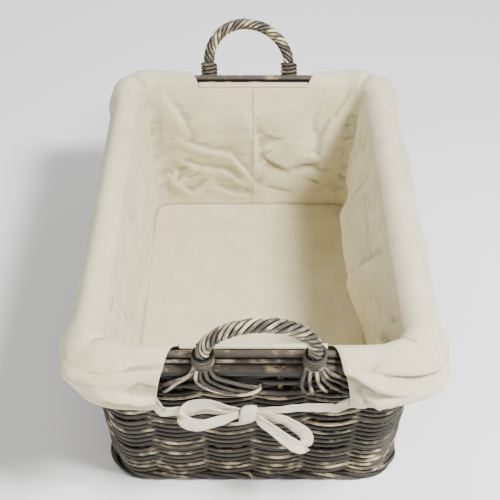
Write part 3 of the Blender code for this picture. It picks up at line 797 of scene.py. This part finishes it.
def build_handle(end):
    """A twisted handle, with the lashing and the splayed canes that hold its feet to the rim."""
    spin = SPINS[end]
    turned = [spin @ point for point in handle_line()]
    wrap = rods(f"{end}_handle_twist", [turned], [STILL], HANDLE_STRAND, HANDLE_CANE, step=0.0028, seed=31,
                rope=(HANDLE_STRANDS, HANDLE_LAY, WRAP_RADIUS - HANDLE_STRAND))
    core = rods(f"{end}_handle_heart", [turned], [STILL], HANDLE_CORE, HANDLE_CANE, step=0.005, seed=33)
    handle = joined(f"{end}_handle", [wrap, core])
    finish_piece(handle, "basket", "handle_cane", f"{end}_handle_wrap", f"{end}_handle_core")
    coils, fans = [], []
    for sign in (-1, 1):
        foot, top = (handle_point(sign * HANDLE_SPAN / 2, up) for up in (-0.001, LASHING_HEIGHT))
        coils.append([spin @ foot, spin @ top])
        fans += [[spin @ point for point in fan_line(foot.x, in_metres(steps))] for steps in FANS[sign]]
    name = f"{end}_handle_lashing"
    lashing = rods(name, coils, [STILL] * 2, LASHING_CANE, SPLAY_CANE, sides=8, step=0.0003, seed=35,
                   rope=(1, 0.0056, WRAP_RADIUS + LASHING_CANE - 0.0004))
    finish_piece(lashing, "basket", "handle_cane", f"{name}_left", f"{name}_right")
    # The fans' rubbed side faces forward and up, towards the lamps: painted highlight there, painted shade on
    # their backs.
    outs = [spin.to_3x3() @ Vector((0, -0.8, 0.6))] * len(fans)
    fan = rods(f"{end}_handle_fan", fans, outs, FAN_CANE, SPLAY_CANE, sides=8, seed=37)
    finish_piece(fan, "basket", "handle_cane")


# --- Liner -------------------------------------------------------------------------------------

CLOTH = 0.0012
BINDING_CLOTH = 0.0011
CLOTH_STEP = 0.0038
LINER_INNER = INNER_OFFSET - INNER_RADIUS - 0.0022
LINER_OUTER = OUTER_OFFSET + OUTER_RADIUS + 0.0022
CREST_Z = CUFF[1].z - 0.0008
CREST_DROP = 0.013
FOLD_Z = CREST_Z - CREST_DROP
HEM_Z = CUFF[0].z + 0.001
TUCK = 0.0025
FLOOR_Z = LINER_FLOOR[0].z + 0.001
WALL_FOOT = -0.0128
WALL_HEIGHT = FOLD_Z - FLOOR_Z
# How far the walls' cloth hangs away from the cane, and where the fold over the rim is highest.
HANG = 0.0110
PEAK = 0.0040
PINCH = 0.0065
# How far the cuff puffs out on the left and on the right, is pulled out at a corner, and is drawn up there.
PUFFS = (0.0030, 0.0110)
CORNER_PULL = 0.0180
CORNER_LIFT = 0.0130
CUFF_LENGTH = 0.12
# How deep the folds are, as a share of the depths listed.
WALL_FOLDS = 1.512
CUFF_FOLDS = 1.575
CUFF_ROWS = 40
OVER = 0.42
OPENING_TOP = 0.0735
OPENING_HEM = 0.1065
SIDE_MIDDLES = {"front": (0.0, 1), "right": (0.25, 1), "back": (0.5, -1), "left": (0.75, -1)}

# In millimetres. Folds of the walls: side, start and end (across, height), width, depth and bend.
WALL_CREASES = in_metres((
    ("back", (-119, 123), (-30, 92), 10, 4.5, 4),
    ("back", (-40, 97), (8, 26), 9, 5, -4),
    ("back", (-122, 86), (-45, 63), 9, 4, 4),
    ("back", (-55, 66), (-10, 30), 8, 3.6, -3),
    ("back", (-70, 36), (6, 10), 8, 4, 3),
    ("back", (-18, 185), (4, 40), 22, 6, -8),
    ("back", (8, 95), (60, 62), 9, -4, 4),
    ("back", (50, 66), (105, 75), 9, -3.6, -4),
    ("back", (12, 40), (70, 24), 8, -3.2, 2),
    ("back", (85, 100), (105, 82), 7, 3, 0),
    ("back", (10, 130), (50, 120), 8, -2.2, 2),
    ("back", (-140, 200), (-96, 118), 22, 7.5, -5),
    ("back", (-138, 60), (-90, 10), 10, 5, 2),
    ("back", (134, 200), (100, 90), 20, -8, 10),
    ("back", (148, 202), (120, 150), 10, -5, 4),
    ("right", (262, 200), (225, 120), 14, 7, 6),
    ("right", (250, 205), (190, 150), 16, 6, 4),
    ("right", (245, 130), (250, 10), 22, 5, -4),
    ("right", (80, 190), (140, 60), 30, 7, 10),
    ("right", (-120, 195), (-20, 50), 34, 8, -14),
    ("right", (-240, 170), (-170, 110), 18, 8, 8),
    ("right", (-235, 195), (-190, 160), 12, 6, 3),
    ("left", (240, 200), (248, 15), 26, 4, -4),
    ("left", (120, 195), (100, 40), 34, 6, 12),
    ("left", (-20, 195), (10, 40), 30, 5, -10),
    ("left", (-180, 185), (-130, 60), 26, 6, 10),
    ("left", (-235, 198), (-175, 178), 10, 5, 2),
    ("front", (-80, 150), (-20, 40), 18, 5, 6),
    ("front", (85, 140), (20, 50), 18, 5, -6),
))
# Folds of the cuff: side, start and end (across, down from the crest), width, depth and bend.
CUFF_CREASES = in_metres((
    ("front", (-78, 2), (-182, 18), 13, 6.2, 4),
    ("front", (-88, 50), (-160, 24), 15, 7.6, 3),
    ("front", (-104, 70), (-164, 56), 13, 4.4, 2),
    ("front", (-160, 6), (-184, 50), 10, 3, 3),
    ("front", (78, 2), (150, 34), 13, 8, 3),
    ("front", (100, 66), (182, 36), 14, 7.6, 3),
    ("front", (128, 4), (184, 16), 11, 6, 2),
    ("front", (112, 30), (138, 60), 11, 4.4, -2),
    ("front", (170, 50), (196, 68), 10, 5, -2),
    ("back", (-86, 12), (-162, 42), 13, 6.2, 2),
    ("back", (86, 12), (162, 42), 13, 6.2, 2),
    ("back", (-108, 70), (-165, 48), 12, 5, 2),
    ("back", (108, 70), (165, 48), 12, 5, 2),
    ("right", (-262, 16), (-225, 50), 12, 3, 2),
    ("right", (120, 10), (90, 60), 20, 2.4, 4),
    ("right", (-60, 12), (-80, 60), 20, 2, -4),
    ("left", (60, 12), (80, 62), 20, 2.2, 4),
    ("left", (-110, 12), (-90, 60), 20, 2, -4),
    ("left", (-262, 14), (-230, 44), 11, 3, 2),
))
# Where the loose cloth of the walls sags inward: the side, across, height, breadth, rise and depth.
SAGS = in_metres((
    ("right", 50, 80, 150, 55, 32), ("right", -120, 90, 100, 60, 5),
    ("left", 80, 90, 110, 70, 7), ("left", -150, 100, 80, 70, 8),
    ("back", -80, 120, 50, 60, 7), ("back", 75, 110, 50, 60, 7.5),
    ("front", 0, 100, 90, 60, 6), ("left", 50, 36, 180, 30, 9),
))


def more_creases(count, seed):
    """Small creases that spread from the bottom corners and the middle seams."""
    dice = random.Random(seed)
    made = []
    for _ in range(count):
        side = dice.choice(("back", "back", "right", "left", "front"))
        reach = 0.14 if side in ("front", "back") else 0.25
        across = dice.choice((-1, 0, 1)) * reach * dice.uniform(0.75, 1.0)
        low = dice.uniform(0.010, 0.060)
        away = -math.copysign(1, across) if across else dice.choice((-1, 1))
        length = dice.uniform(0.025, 0.070)
        rise = dice.uniform(0.2, 1.1)
        end = (across + away * length * math.cos(rise), low + length * math.sin(rise))
        shape = (dice.uniform(*limits) for limits in ((0.006, 0.010), (0.0012, 0.0028), (-0.004, 0.004)))
        made.append((side, (across, low), end, *shape))
    return made


def cuff_drags(count, seed):
    """Slight drag lines that slant down the cuff, most of them near its corners."""
    dice = random.Random(seed)
    made = []
    for number in range(count):
        side = ("front", "back", "front", "back", "left", "right")[number % 6]
        near, far = (0.095, 0.170) if side in ("front", "back") else (0.020, 0.270)
        soft = 1.0 if side in ("front", "back") else 0.4
        across = dice.choice((-1, 1)) * dice.uniform(near, far)
        slant = dice.uniform(-0.050, 0.050)
        high = dice.uniform(0.006, 0.040)
        end = (across + slant, high + dice.uniform(0.012, 0.034))
        width, depth = dice.uniform(0.006, 0.010), dice.uniform(0.0010, 0.0026) * soft
        made.append((side, (across, high), end, width, depth, dice.uniform(-0.003, 0.003)))
    return made


def from_middle(side, u):
    """How far each point round the liner is from that side's middle, rightwards as the front sees it."""
    middle, way = SIDE_MIDDLES[side]
    gap = u - middle * GIRTH
    return (gap - GIRTH * np.round(gap / GIRTH)) * way


def ridges(creases, u, v, steep, gentle, power):
    """How far ridges stand out at each point (u round the liner, v up or down it): steep on one flank."""
    total = np.zeros_like(u)
    for side, (across_a, high_a), (across_b, high_b), width, depth, bend in creases:
        run_u, run_v = across_b - across_a, high_b - high_a
        length = math.hypot(run_u, run_v)
        du, dv = from_middle(side, u) - across_a, v - high_a
        along = np.clip((du * run_u + dv * run_v) / length ** 2, 0, 1)
        across = (dv * run_u - du * run_v) / length + bend * np.sin(np.pi * along)
        flank = np.where(across > 0, steep * width, gentle * width)
        total += depth * np.sin(np.pi * along) ** 0.7 * np.exp(-((across / flank) ** 2 + 0.02) ** power)
    return total


ALL_CREASES = [*WALL_CREASES, *more_creases(46, 4)]
ALL_CUFF_CREASES = [*CUFF_CREASES, *cuff_drags(34, 8)]


def loose(u, v):
    """Broad, soft waves of the cloth at those points."""
    waves = []
    for around, high in zip(np.ravel(u), np.ravel(v)):
        turn = around / GIRTH * 2 * math.pi
        spot = Vector((math.cos(turn), math.sin(turn), 0.0))
        waves.append(0.0034 * (0.7 + noise.fractal(spot * 2.6 + Vector((0, 0, high * 14)), 0.9, 2.0, 2))
                     + 0.0012 * noise.fractal(spot * 8.0 + Vector((0, 0, high * 70 + 5)), 0.8, 2.0, 2))
    return np.array(waves).reshape(np.shape(u))


def corner_reach(share, breadth):
    """1 on a corner's middle, falling to nothing at that distance from it along the cloth."""
    gap = min(abs(share % 1.0 - corner) for corner in CORNER_SHARES) * GIRTH
    return clamp(1 - math.hypot(gap, 0.004) / breadth) ** 1.6


def wall_cloth(shares, heights):
    """Points of the liner's inner walls; heights runs from 0 at the floor to 1 where the cuff starts."""
    u, v = np.array(shares) * GIRTH, np.array(heights) * WALL_HEIGHT
    slack = np.clip(np.sin(np.pi * np.clip(np.array(heights), 0, 1)), 0, 1) ** 0.6
    depth = WALL_FOLDS * ridges(ALL_CREASES, u, v, 0.30, 1.35, 0.8) + loose(u, v)
    for side, across, high, breadth, rise, inward in SAGS:
        gap = from_middle(side, u) - across
        depth += inward * np.exp(-(gap / breadth) ** 2 - ((v - high) / rise) ** 2)
    points = []
    for share, height, inward in zip(shares, heights, np.maximum(depth, 0.0) * slack):
        z = mix(FLOOR_Z, FOLD_Z, height)
        foot = wall_point(share, z, WALL_FOOT)
        top = wall_point(share, HOOP_Z, LINER_INNER, at=z)
        hang = HANG * (1 - 0.8 * abs(math.sin(share * 2 * math.pi)) ** 0.5) * math.sin(math.pi * height ** 2)
        hang *= 1 - 0.7 * corner_reach(share, 0.060)
        points.append(foot.lerp(top, smooth(height * 1.25 - 0.25)) - outward(share) * (inward + hang))
    return points


def opening_edge(step):
    """How far from the middle the cuff's edge is, where it is cut away round a handle."""
    return mix(OPENING_TOP, OPENING_HEM, math.sin(math.pi / 2 * clamp(step * 1.15)) ** 0.65)


def corner_lift(share):
    """How far the hem is drawn up near a corner."""
    return CORNER_LIFT * corner_reach(share, 0.120)


def hem_height(share):
    """The hem hangs lower at the front, most by the opening's left edge, and is drawn up at the corners."""
    turn = share * 2 * math.pi
    return HEM_Z - 0.004 * clamp(math.cos(turn)) * (1 - 1.2 * math.sin(turn)) + corner_lift(share)


def crest_fall(offset):
    """Share of the crest's drop at that offset: a long slope inward from the peak, a short one outward."""
    if offset < PEAK:
        return ((PEAK - offset) / (PEAK - LINER_INNER)) ** 2.3
    return ((offset - PEAK) / (LINER_OUTER - PEAK)) ** 2.2


def pinch(share):
    """The cloth is gathered up on each side of a corner, with a sharp valley between."""
    gap = min(abs(share % 1.0 - corner) for corner in CORNER_SHARES) * GIRTH
    return PINCH * math.exp(-(gap / 0.028) ** 2) * (1 - math.exp(-(gap / 0.008) ** 1.4))


def cuff_cloth(shares, step):
    """Points of the cuff over the rim and down the outside, as step goes from 0 to 1."""
    middle, half = (LINER_INNER + LINER_OUTER) / 2, (LINER_OUTER - LINER_INNER) / 2
    over = math.pi * min(step / OVER, 1.0)
    down = clamp((step - OVER) / (1 - OVER))
    u = np.array(shares) * GIRTH
    v = np.full_like(u, (step - OVER) * CUFF_LENGTH + 0.010)
    stand = CUFF_FOLDS * ridges(ALL_CUFF_CREASES, u, v, 0.28, 0.95, 0.8)
    stand += 0.8 * loose(u + 0.3, v) * math.sin(math.pi * down)
    points = []
    for share, extra in zip(shares, stand):
        turn = math.sin(share * 2 * math.pi)
        puff = mix(*PUFFS, (1 + turn) / 2) * math.sin(math.pi * down ** 0.85)
        corner = corner_reach(share, 0.052)
        offset = middle - half * math.cos(over)
        crest = CREST_Z - crest_fall(offset) * CREST_DROP + pinch(share) * math.sin(over) ** 0.5
        offset += puff + extra * smooth(step / OVER) - TUCK * down ** 6
        offset += corner * CORNER_PULL * (1 - 0.55 * down) * smooth((step / OVER - 0.45) / 0.55)
        z = crest if step < OVER else mix(FOLD_Z, hem_height(share), down)
        points.append(wall_point(share, HOOP_Z, offset, at=z))
    return points


def cuff_share(base, part, step):
    """Share of the way round, for a part of the way along one half of the cuff."""
    edge = front_share(opening_edge(step), HOOP_Z)
    return base + mix(edge, 0.5 - edge, part)


def sheet_mesh(name, rows, uvs, closed=False):
    """Rows of points as one mesh of quads, with cloth coordinates in metres for each point."""
    shape = bmesh.new()
    layer = shape.loops.layers.uv.new("cloth")
    grid = [[shape.verts.new(point) for point in row] for row in rows]
    for i in range(len(grid) - 1):
        columns = len(grid[i]) - (0 if closed else 1)
        for j in range(columns):
            k = (j + 1) % len(grid[i])
            made = shape.faces.new((grid[i][j], grid[i + 1][j], grid[i + 1][k], grid[i][k]))
            corners = ((i, j), (i + 1, j), (i + 1, j + 1), (i, j + 1))
            for loop, (row, column) in zip(made.loops, corners):
                loop[layer].uv = uvs(row, column)
    mesh = bpy.data.meshes.new(name)
    shape.to_mesh(mesh)
    shape.free()
    return mesh


def liner_mesh():
    """Walls, the fold over the rim and the two halves of the cuff, as one open sheet."""
    edge = front_share(OPENING_TOP, HOOP_Z)
    side_columns = round((0.5 - 2 * edge) * GIRTH / CLOTH_STEP)
    end_columns = round(2 * edge * GIRTH / CLOTH_STEP)
    wall_rows = round(WALL_HEIGHT / CLOTH_STEP)
    side = [mix(edge, 0.5 - edge, i / side_columns) for i in range(side_columns)]
    end = [mix(0.5 - edge, 0.5 + edge, i / end_columns) for i in range(end_columns)]
    shares = side + end + [0.5 + share for share in side] + [0.5 + share for share in end]
    rows = [wall_cloth(shares, [row / wall_rows] * len(shares)) for row in range(wall_rows + 1)]
    start = shares[0] * GIRTH
    walls = sheet_mesh("liner_walls", rows, lambda row, column: (
        start + column / len(shares) * GIRTH, row / wall_rows * WALL_HEIGHT), closed=True)
    meshes = [walls]
    for base in (0.0, 0.5):
        rows = [cuff_cloth([cuff_share(base, part, step) for part in evenly(0, 1, side_columns)], step)
                for step in evenly(0, 1, CUFF_ROWS)]
        meshes.append(sheet_mesh("liner_cuff", rows, lambda row, column: (
            mix(base + edge, base + 0.5 - edge, column / side_columns) * GIRTH,
            WALL_HEIGHT + row / CUFF_ROWS * CUFF_LENGTH)))
    return merged("liner_bag", meshes, 0.0002)


def mark_painted_fold_shade(mesh):
    """Stores how far each point lies down in a fold, which the cloth's material uses to paint shade there."""
    places, normals = (np.empty(len(mesh.vertices) * 3, dtype=np.float32) for _ in range(2))
    mesh.vertices.foreach_get("co", places)
    mesh.vertex_normals.foreach_get("vector", normals)
    places, normals = places.reshape(-1, 3), normals.reshape(-1, 3)
    ends = np.empty(len(mesh.edges) * 2, dtype=np.int32)
    mesh.edges.foreach_get("vertices", ends)
    first, second = ends.reshape(-1, 2).T
    links = np.bincount(ends, minlength=len(places)).clip(1)[:, None]
    far, sink = places, 0.0
    for turn in range(12):
        total = np.stack([np.bincount(first, far[second, k], len(places)) + np.bincount(second, far[first, k],
                          len(places)) for k in range(3)], axis=1)
        far = total / links
        if turn in (2, 11):
            sink = sink + ((far - places) * normals).sum(axis=1) / (0.0010 if turn == 2 else 0.0050)
    low = places[:, 2] < places[:, 2].mean()
    facing = -np.sign((normals[low, :2] * places[low, :2]).sum())
    layer = mesh.attributes.new("valley", "FLOAT", "POINT")
    layer.data.foreach_set("value", np.clip(sink * facing, -1, 1).astype(np.float32))


def cloth_piece(name, mesh, material, thickness, body, slot, *nodes):
    """A sheet of cloth with some thickness, riding on that body."""
    piece = bpy.data.objects.new(name, mesh)
    bpy.context.scene.collection.objects.link(piece)
    mesh.materials.append(material)
    mesh.polygons.foreach_set("use_smooth", [True] * len(mesh.polygons))
    thick = piece.modifiers.new("thickness", "SOLIDIFY")
    thick.thickness = thickness
    thick.offset = 0.0
    return finish_piece(piece, body, slot, *nodes)


def build_liner():
    mesh = liner_mesh()
    # Fold depths for the painted shade in the liner's folds.
    mark_painted_fold_shade(mesh)
    names = [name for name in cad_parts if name.startswith(("liner_wall", "cuff_"))]
    liner = cloth_piece("liner_bag", mesh, LINER_COTTON, CLOTH, "liner", "liner_cotton", *names)
    flat = (WALL_HEIGHT + CUFF_LENGTH, round(GIRTH * 1.03, 3))


def floor_point(a, b):
    """A point of the floor panel; a and b run from -1 to 1 across it, and its corners are rounded."""
    half_width, half_length, radius = outline(FLOOR_Z)
    half_width, half_length, radius = (size + WALL_FOOT for size in (half_width, half_length, radius))
    x, y = a * half_width, b * half_length
    over_x, over_y = abs(x) - half_width + radius, abs(y) - half_length + radius
    if over_x > 0 and over_y > 0:
        pull = max(over_x, over_y) / math.hypot(over_x, over_y)
        x = math.copysign(half_width - radius + over_x * pull, x)
        y = math.copysign(half_length - radius + over_y * pull, y)
    ripple = noise.fractal(Vector((x * 9, y * 6, 2.0)), 0.8, 2.0, 3) * (1 - max(abs(a), abs(b)) ** 6)
    return Vector((x, y, FLOOR_Z + 0.0006 + 0.0022 * clamp(ripple + 0.3)))


def build_liner_floor():
    rows = [[floor_point(a, b) for a in evenly(-1, 1, 48)] for b in evenly(-1, 1, 76)]
    mesh = sheet_mesh("liner_floor_panel", rows, lambda row, column: tuple(rows[row][column].xy))
    panel = cloth_piece("liner_floor_panel", mesh, LINER_COTTON, CLOTH, "liner", "liner_cotton",
                        "liner_floor")
    half_width, half_length, _ = outline(FLOOR_Z)
    round(2 * half_width, 3)
    round(2 * half_length, 3)


def wall_line(share, low=0.0, high=1.0, count=60, lift=0.0):
    """Up the inside of the liner's wall, that far off its cloth."""
    points = wall_cloth([share] * (count + 1), evenly(low, high, count))
    return [point - outward(share) * lift for point in points]


def cuff_edge(base, part, count=40, inset=0.0, lift=0.0):
    """Down the cuff beside an opening, that far inside its edge."""
    line = []
    for step in evenly(0, 1, count):
        share = cuff_share(base, part, step) + (inset if part == 0 else -inset) / GIRTH
        line.append(cuff_cloth([share], step)[0] + outward(share) * lift)
    return line


def hem_line(base, inset=0.0, lift=0.0, count=220):
    """Along the cuff's hem, that far above it."""
    step = 1 - inset / CUFF_LENGTH
    shares = [cuff_share(base, part, step) for part in evenly(0, 1, count)]
    return [point + outward(share) * lift for share, point in zip(shares, cuff_cloth(shares, step))]


SEAM_RADIUS = 0.0010
THREAD_RADIUS = 0.00035
STITCH_LIFT = 0.0007


def build_seams():
    """Felled seams down the middles of the ends, the seam round the floor, and rolled hems."""
    ring = evenly(0, 1, 360)
    ends = [(middle, side) for middle in (0.5, 1.0) for side in (-1, 1)]
    seams = [wall_line(middle + side * 0.0009 / GIRTH, 0.01, 0.99, lift=STITCH_LIFT) for middle, side in ends]
    foot = zip(ring, wall_cloth(ring, [0.004] * len(ring)))
    seams.append([point - outward(share) * SEAM_RADIUS for share, point in foot])
    for base in (0.0, 0.5):
        seams += [cuff_edge(base, 0), cuff_edge(base, 1), hem_line(base)]
    cords = rods("liner_seams", seams, [STILL] * len(seams), SEAM_RADIUS, SEAM_COTTON, sides=6, seed=41)
    finish_piece(cords, "liner", "liner_cotton")
    lines = [wall_line(middle + side * 0.006 / GIRTH, 0.02, 0.98, lift=STITCH_LIFT) for middle, side in ends]
    for base in (0.0, 0.5):
        lines += [cuff_edge(base, part, inset=0.005, lift=STITCH_LIFT) for part in (0, 1)]
        lines.append(hem_line(base, 0.007, STITCH_LIFT))
    values = {"Pitch": 0.0036, "Length": 0.0026, "Radius": THREAD_RADIUS, "Material": THREAD}
    stitches = grown("liner_stitches", STITCHES, guide_mesh("liner_stitches", lines), values)
    finish_piece(stitches, "liner", "liner_cotton")


# --- Tapes and bows ----------------------------------------------------------------------------

TAPE_WIDTH = TAPE[1].z - TAPE[0].z - 0.016
TAPE_CLOTH = 0.0013
TAPE_FLAT = 0.016
KNOT_MIDDLE = (KNOT[0] + KNOT[1]) / 2
TAPE_Z = TAPE[1].z - TAPE_WIDTH / 2 - 0.004
TAPE_OFFSET = 0.0166
# The tape where it is drawn in at the knot, and where it comes out of the hem or a loop is widest.
DRAWN_WIDTH = 0.0085
TIE_WIDTH = 0.0135
LOOP_WIDTH = 0.0150


def ribbon_mesh(name, path, ways, widths, crumple, curl=0.0006, seed=0.0):
    """A strip of tape along the path; for each point, the way that its width points and how wide it is."""
    rows, lengths, length = [], [], 0.0
    for i, (point, way, width) in enumerate(zip(path, ways, widths)):
        tangent = (path[min(i + 1, len(path) - 1)] - path[max(i - 1, 0)]).normalized()
        way = Vector(way)
        way = (way - tangent * way.dot(tangent)).normalized()
        face = tangent.cross(way)
        length += (point - path[i - 1]).length if i else 0.0
        lengths.append(length)
        row = []
        for side in evenly(-1, 1, 8):
            ripple = noise.noise(Vector((length * 90, side * 1.7, seed))) * crumple * (0.4 + abs(side))
            row.append(point + way * side * width / 2 + face * (ripple + curl * side * side))
        rows.append(row)
    return sheet_mesh(name, rows, lambda row, column: (column / 8 * TAPE_FLAT, lengths[row]))


def bent(ways, count):
    """Directions that turn evenly through those given, one for each of count points."""
    ways = [Vector(way).normalized() for way in ways]
    made = []
    for place in evenly(0, len(ways) - 1, count - 1):
        first = min(int(place), len(ways) - 2)
        made.append(ways[first].lerp(ways[first + 1], place - first))
    return made


# Each loop's path in millimetres, from the knot and back, and the ways that the tape's width points.
LOOPS = (
    (((-8, -3, 1), (-28, -9, -1), (-50, -13, -5), (-66, -11, -4), (-72.5, -5, 1), (-66, 2, 7),
      (-46, 3.5, 11.5), (-26, 3, 6), (-8, 1, 1)),
     ((0, 0.1, 1), (-0.1, 0.2, 1), (-0.3, 0.3, 1), (0.0, 0.5, 1), (0.1, 0.7, 1), (0.3, 0.4, 1),
      (-0.1, 0.2, 1), (0, 0, 1), (0, 0, 1))),
    (((8, -3, 0), (22, -8, -11), (40, -11, -27), (56, -11, -42), (64, -7, -45), (66, -1, -36),
      (52, 2, -22), (30, 2, -8), (8, 1, 1)),
     ((0, 0.1, 1), (0.5, 0.1, 0.9), (0.7, 0.1, 0.7), (0.7, 0.5, 0.6), (0.6, 0.7, 0.5), (0.7, 0.5, 0.7),
      (0.6, 0.1, 0.9), (0.3, 0.0, 1), (0, 0, 1))),
)


def bow_meshes():
    """Two loops and the band round their middle."""
    meshes = []
    for number, (points, ways) in enumerate(LOOPS):
        path = [point + KNOT_MIDDLE for point in smooth_line(in_metres(points), 7)]
        widths = [mix(DRAWN_WIDTH, LOOP_WIDTH, max(math.sin(math.pi * part), 0.0) ** 0.6)
                  for part in evenly(0, 1, len(path) - 1)]
        ways = bent(ways, len(path))
        meshes.append(ribbon_mesh("bow_loop", path, ways, widths, 0.0018, 0.0010, number + 3.0))
    ring = []
    for angle in evenly(0, 2 * math.pi, 32):
        bulge = 1 + 0.10 * math.cos(2 * angle)
        ring.append(KNOT_MIDDLE + Vector((0.0012 * math.sin(angle), 0.0062 * bulge * math.cos(angle),
                                          0.0118 * bulge * math.sin(angle))))
    across = [(1, 0, 0.12)] * len(ring)
    meshes.append(ribbon_mesh("bow_band", ring, across, [0.0175] * len(ring), 0.0016, -0.0012, 9.0))
    return meshes


def tie_path(sign):
    """From the knot out to the opening's edge, and on inside the cuff."""
    inside = -outline(HOOP_Z)[1] - TAPE_OFFSET - 0.003
    x, y, z = KNOT_MIDDLE.x, KNOT_MIDDLE.y + 0.003, KNOT_MIDDLE.z
    if sign < 0:
        points = ((x - 0.006, y, z), (-0.030, y, z + 0.001), (-0.060, y + 0.001, z + 0.001),
                  (-0.088, y + 0.001, z - 0.001), (-0.102, inside, z + 0.001))
    else:
        points = ((x + 0.006, y, z + 0.001), (0.030, y, z + 0.004), (0.060, y + 0.001, z + 0.006),
                  (0.092, inside, z + 0.008))
    return smooth_line(points, 8)


def build_tapes():
    """One tape down each side inside the cuff's hem, tied at both ends."""
    edge = front_share(OPENING_HEM + 0.004, HOOP_Z)
    for side, sign in (("right", 1), ("left", -1)):
        middle = [wall_point(sign * share, HOOP_Z, TAPE_OFFSET, at=TAPE_Z + corner_lift(share))
                  for share in evenly(edge, 0.5 - edge, 110)]
        front, back = tie_path(sign), [SPINS["back"] @ point for point in reversed(tie_path(-sign))]
        path = front + middle + back
        widths = []
        for i in range(len(path)):
            end = min(i, len(path) - 1 - i) / len(front)
            widths.append(TAPE_WIDTH if end > 1.2 else mix(DRAWN_WIDTH, TIE_WIDTH, smooth(end)))
        name = f"{side}_tape"
        mesh = ribbon_mesh(name, path, [UP] * len(path), widths, 0.0012, seed=sign * 2.0 + 6.0)
        long = round(sum((b - a).length for a, b in zip(path, path[1:])), 3)
        tape = cloth_piece(name, mesh, TAPE_COTTON, TAPE_CLOTH, "basket", "tape_cotton", f"tape_{side}")


def build_bow(end):
    """A bow on the tapes under that end's handle."""
    mesh = merged(f"{end}_bow", bow_meshes())
    mesh.transform(SPINS[end])
    nodes = [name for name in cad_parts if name.startswith(f"{end}_bow")]
    bow = cloth_piece(f"{end}_bow", mesh, TAPE_COTTON, TAPE_CLOTH, "basket", "tape_cotton", *nodes)


def build_bindings():
    """The narrow binding on the liner's edge behind each handle."""
    profile = ((-0.0006, -0.0010), (-0.0002, 0.0040), (0.0030, 0.0070), (0.0072, 0.0066), (0.0084, 0.0044))
    edge = front_share(OPENING_TOP + 0.0075, HOOP_Z)
    for end, middle, tall in (("front", 0.0, 1.0), ("back", 0.5, 0.6)):
        shares = evenly(middle - edge, middle + edge, 60)
        rows = [[wall_point(share, HOOP_Z, LINER_INNER + out, at=FOLD_Z + tall * up) for share in shares]
                for out, up in profile]
        name = f"{end}_binding"
        mesh = sheet_mesh(name, rows, lambda row, column: (column / 60 * 0.17, row / 4 * TAPE_FLAT))
        strip = cloth_piece(name, mesh, LINER_COTTON, BINDING_CLOTH, "liner", "liner_cotton")


# --- Room, light and camera --------------------------------------------------------------------

CAMERA_PITCH = math.radians(38.8)
CAMERA_DISTANCE = 1.492
CAMERA_AIM_Z = 0.1135
SENSOR = 36.0
LENS = 1100 / 500 * SENSOR
CAMERA_SHIFT = (-0.0064, 0.024)


def build_stage():
    bpy.ops.mesh.primitive_plane_add(size=8.0)
    floor = bpy.context.object
    floor.name = "studio_floor"
    material, tree, shader = start_material("studio_floor", 0.9)
    shader.inputs["Base Color"].default_value = (0.98, 0.98, 0.98, 1.0)
    floor.data.materials.append(material)
    world = bpy.data.worlds.new("studio")
    world.use_nodes = True
    world.node_tree.nodes["Background"].inputs["Color"].default_value = (1.0, 1.0, 1.0, 1.0)
    world.node_tree.nodes["Background"].inputs["Strength"].default_value = 0.27
    bpy.context.scene.world = world
    lamps = (("key", (1.15, -0.8, 1.9), 0.5, 124.0), ("fill", (-1.6, -1.6, 1.0), 1.0, 24.0),
             ("back", (-0.4, 1.7, 1.5), 1.0, 18.0))
    for name, place, size, power in lamps:
        light = bpy.data.lights.new(name, "AREA")
        light.size = size
        light.energy = power
        lamp = bpy.data.objects.new(name, light)
        lamp.location = place
        lamp.rotation_euler = (Vector((0, 0, 0.1)) - Vector(place)).to_track_quat("-Z", "Y").to_euler()
        bpy.context.scene.collection.objects.link(lamp)


def build_camera():
    data = bpy.data.cameras.new("camera")
    data.sensor_width = SENSOR
    data.lens = LENS
    data.shift_x, data.shift_y = CAMERA_SHIFT
    camera = bpy.data.objects.new("camera", data)
    camera.location = (0.0, -CAMERA_DISTANCE * math.cos(CAMERA_PITCH),
                       CAMERA_AIM_Z + CAMERA_DISTANCE * math.sin(CAMERA_PITCH))
    camera.rotation_euler = (math.pi / 2 - CAMERA_PITCH, 0.0, 0.0)
    bpy.context.scene.collection.objects.link(camera)
    bpy.context.scene.camera = camera


build_camera()
build_stage()
build_wall()
build_ribs()
build_floor()
build_foot()
build_rim()
for end in ("front", "back"):
    build_handle(end)
    build_bow(end)
build_tapes()
build_liner()
build_liner_floor()
build_seams()
build_bindings()
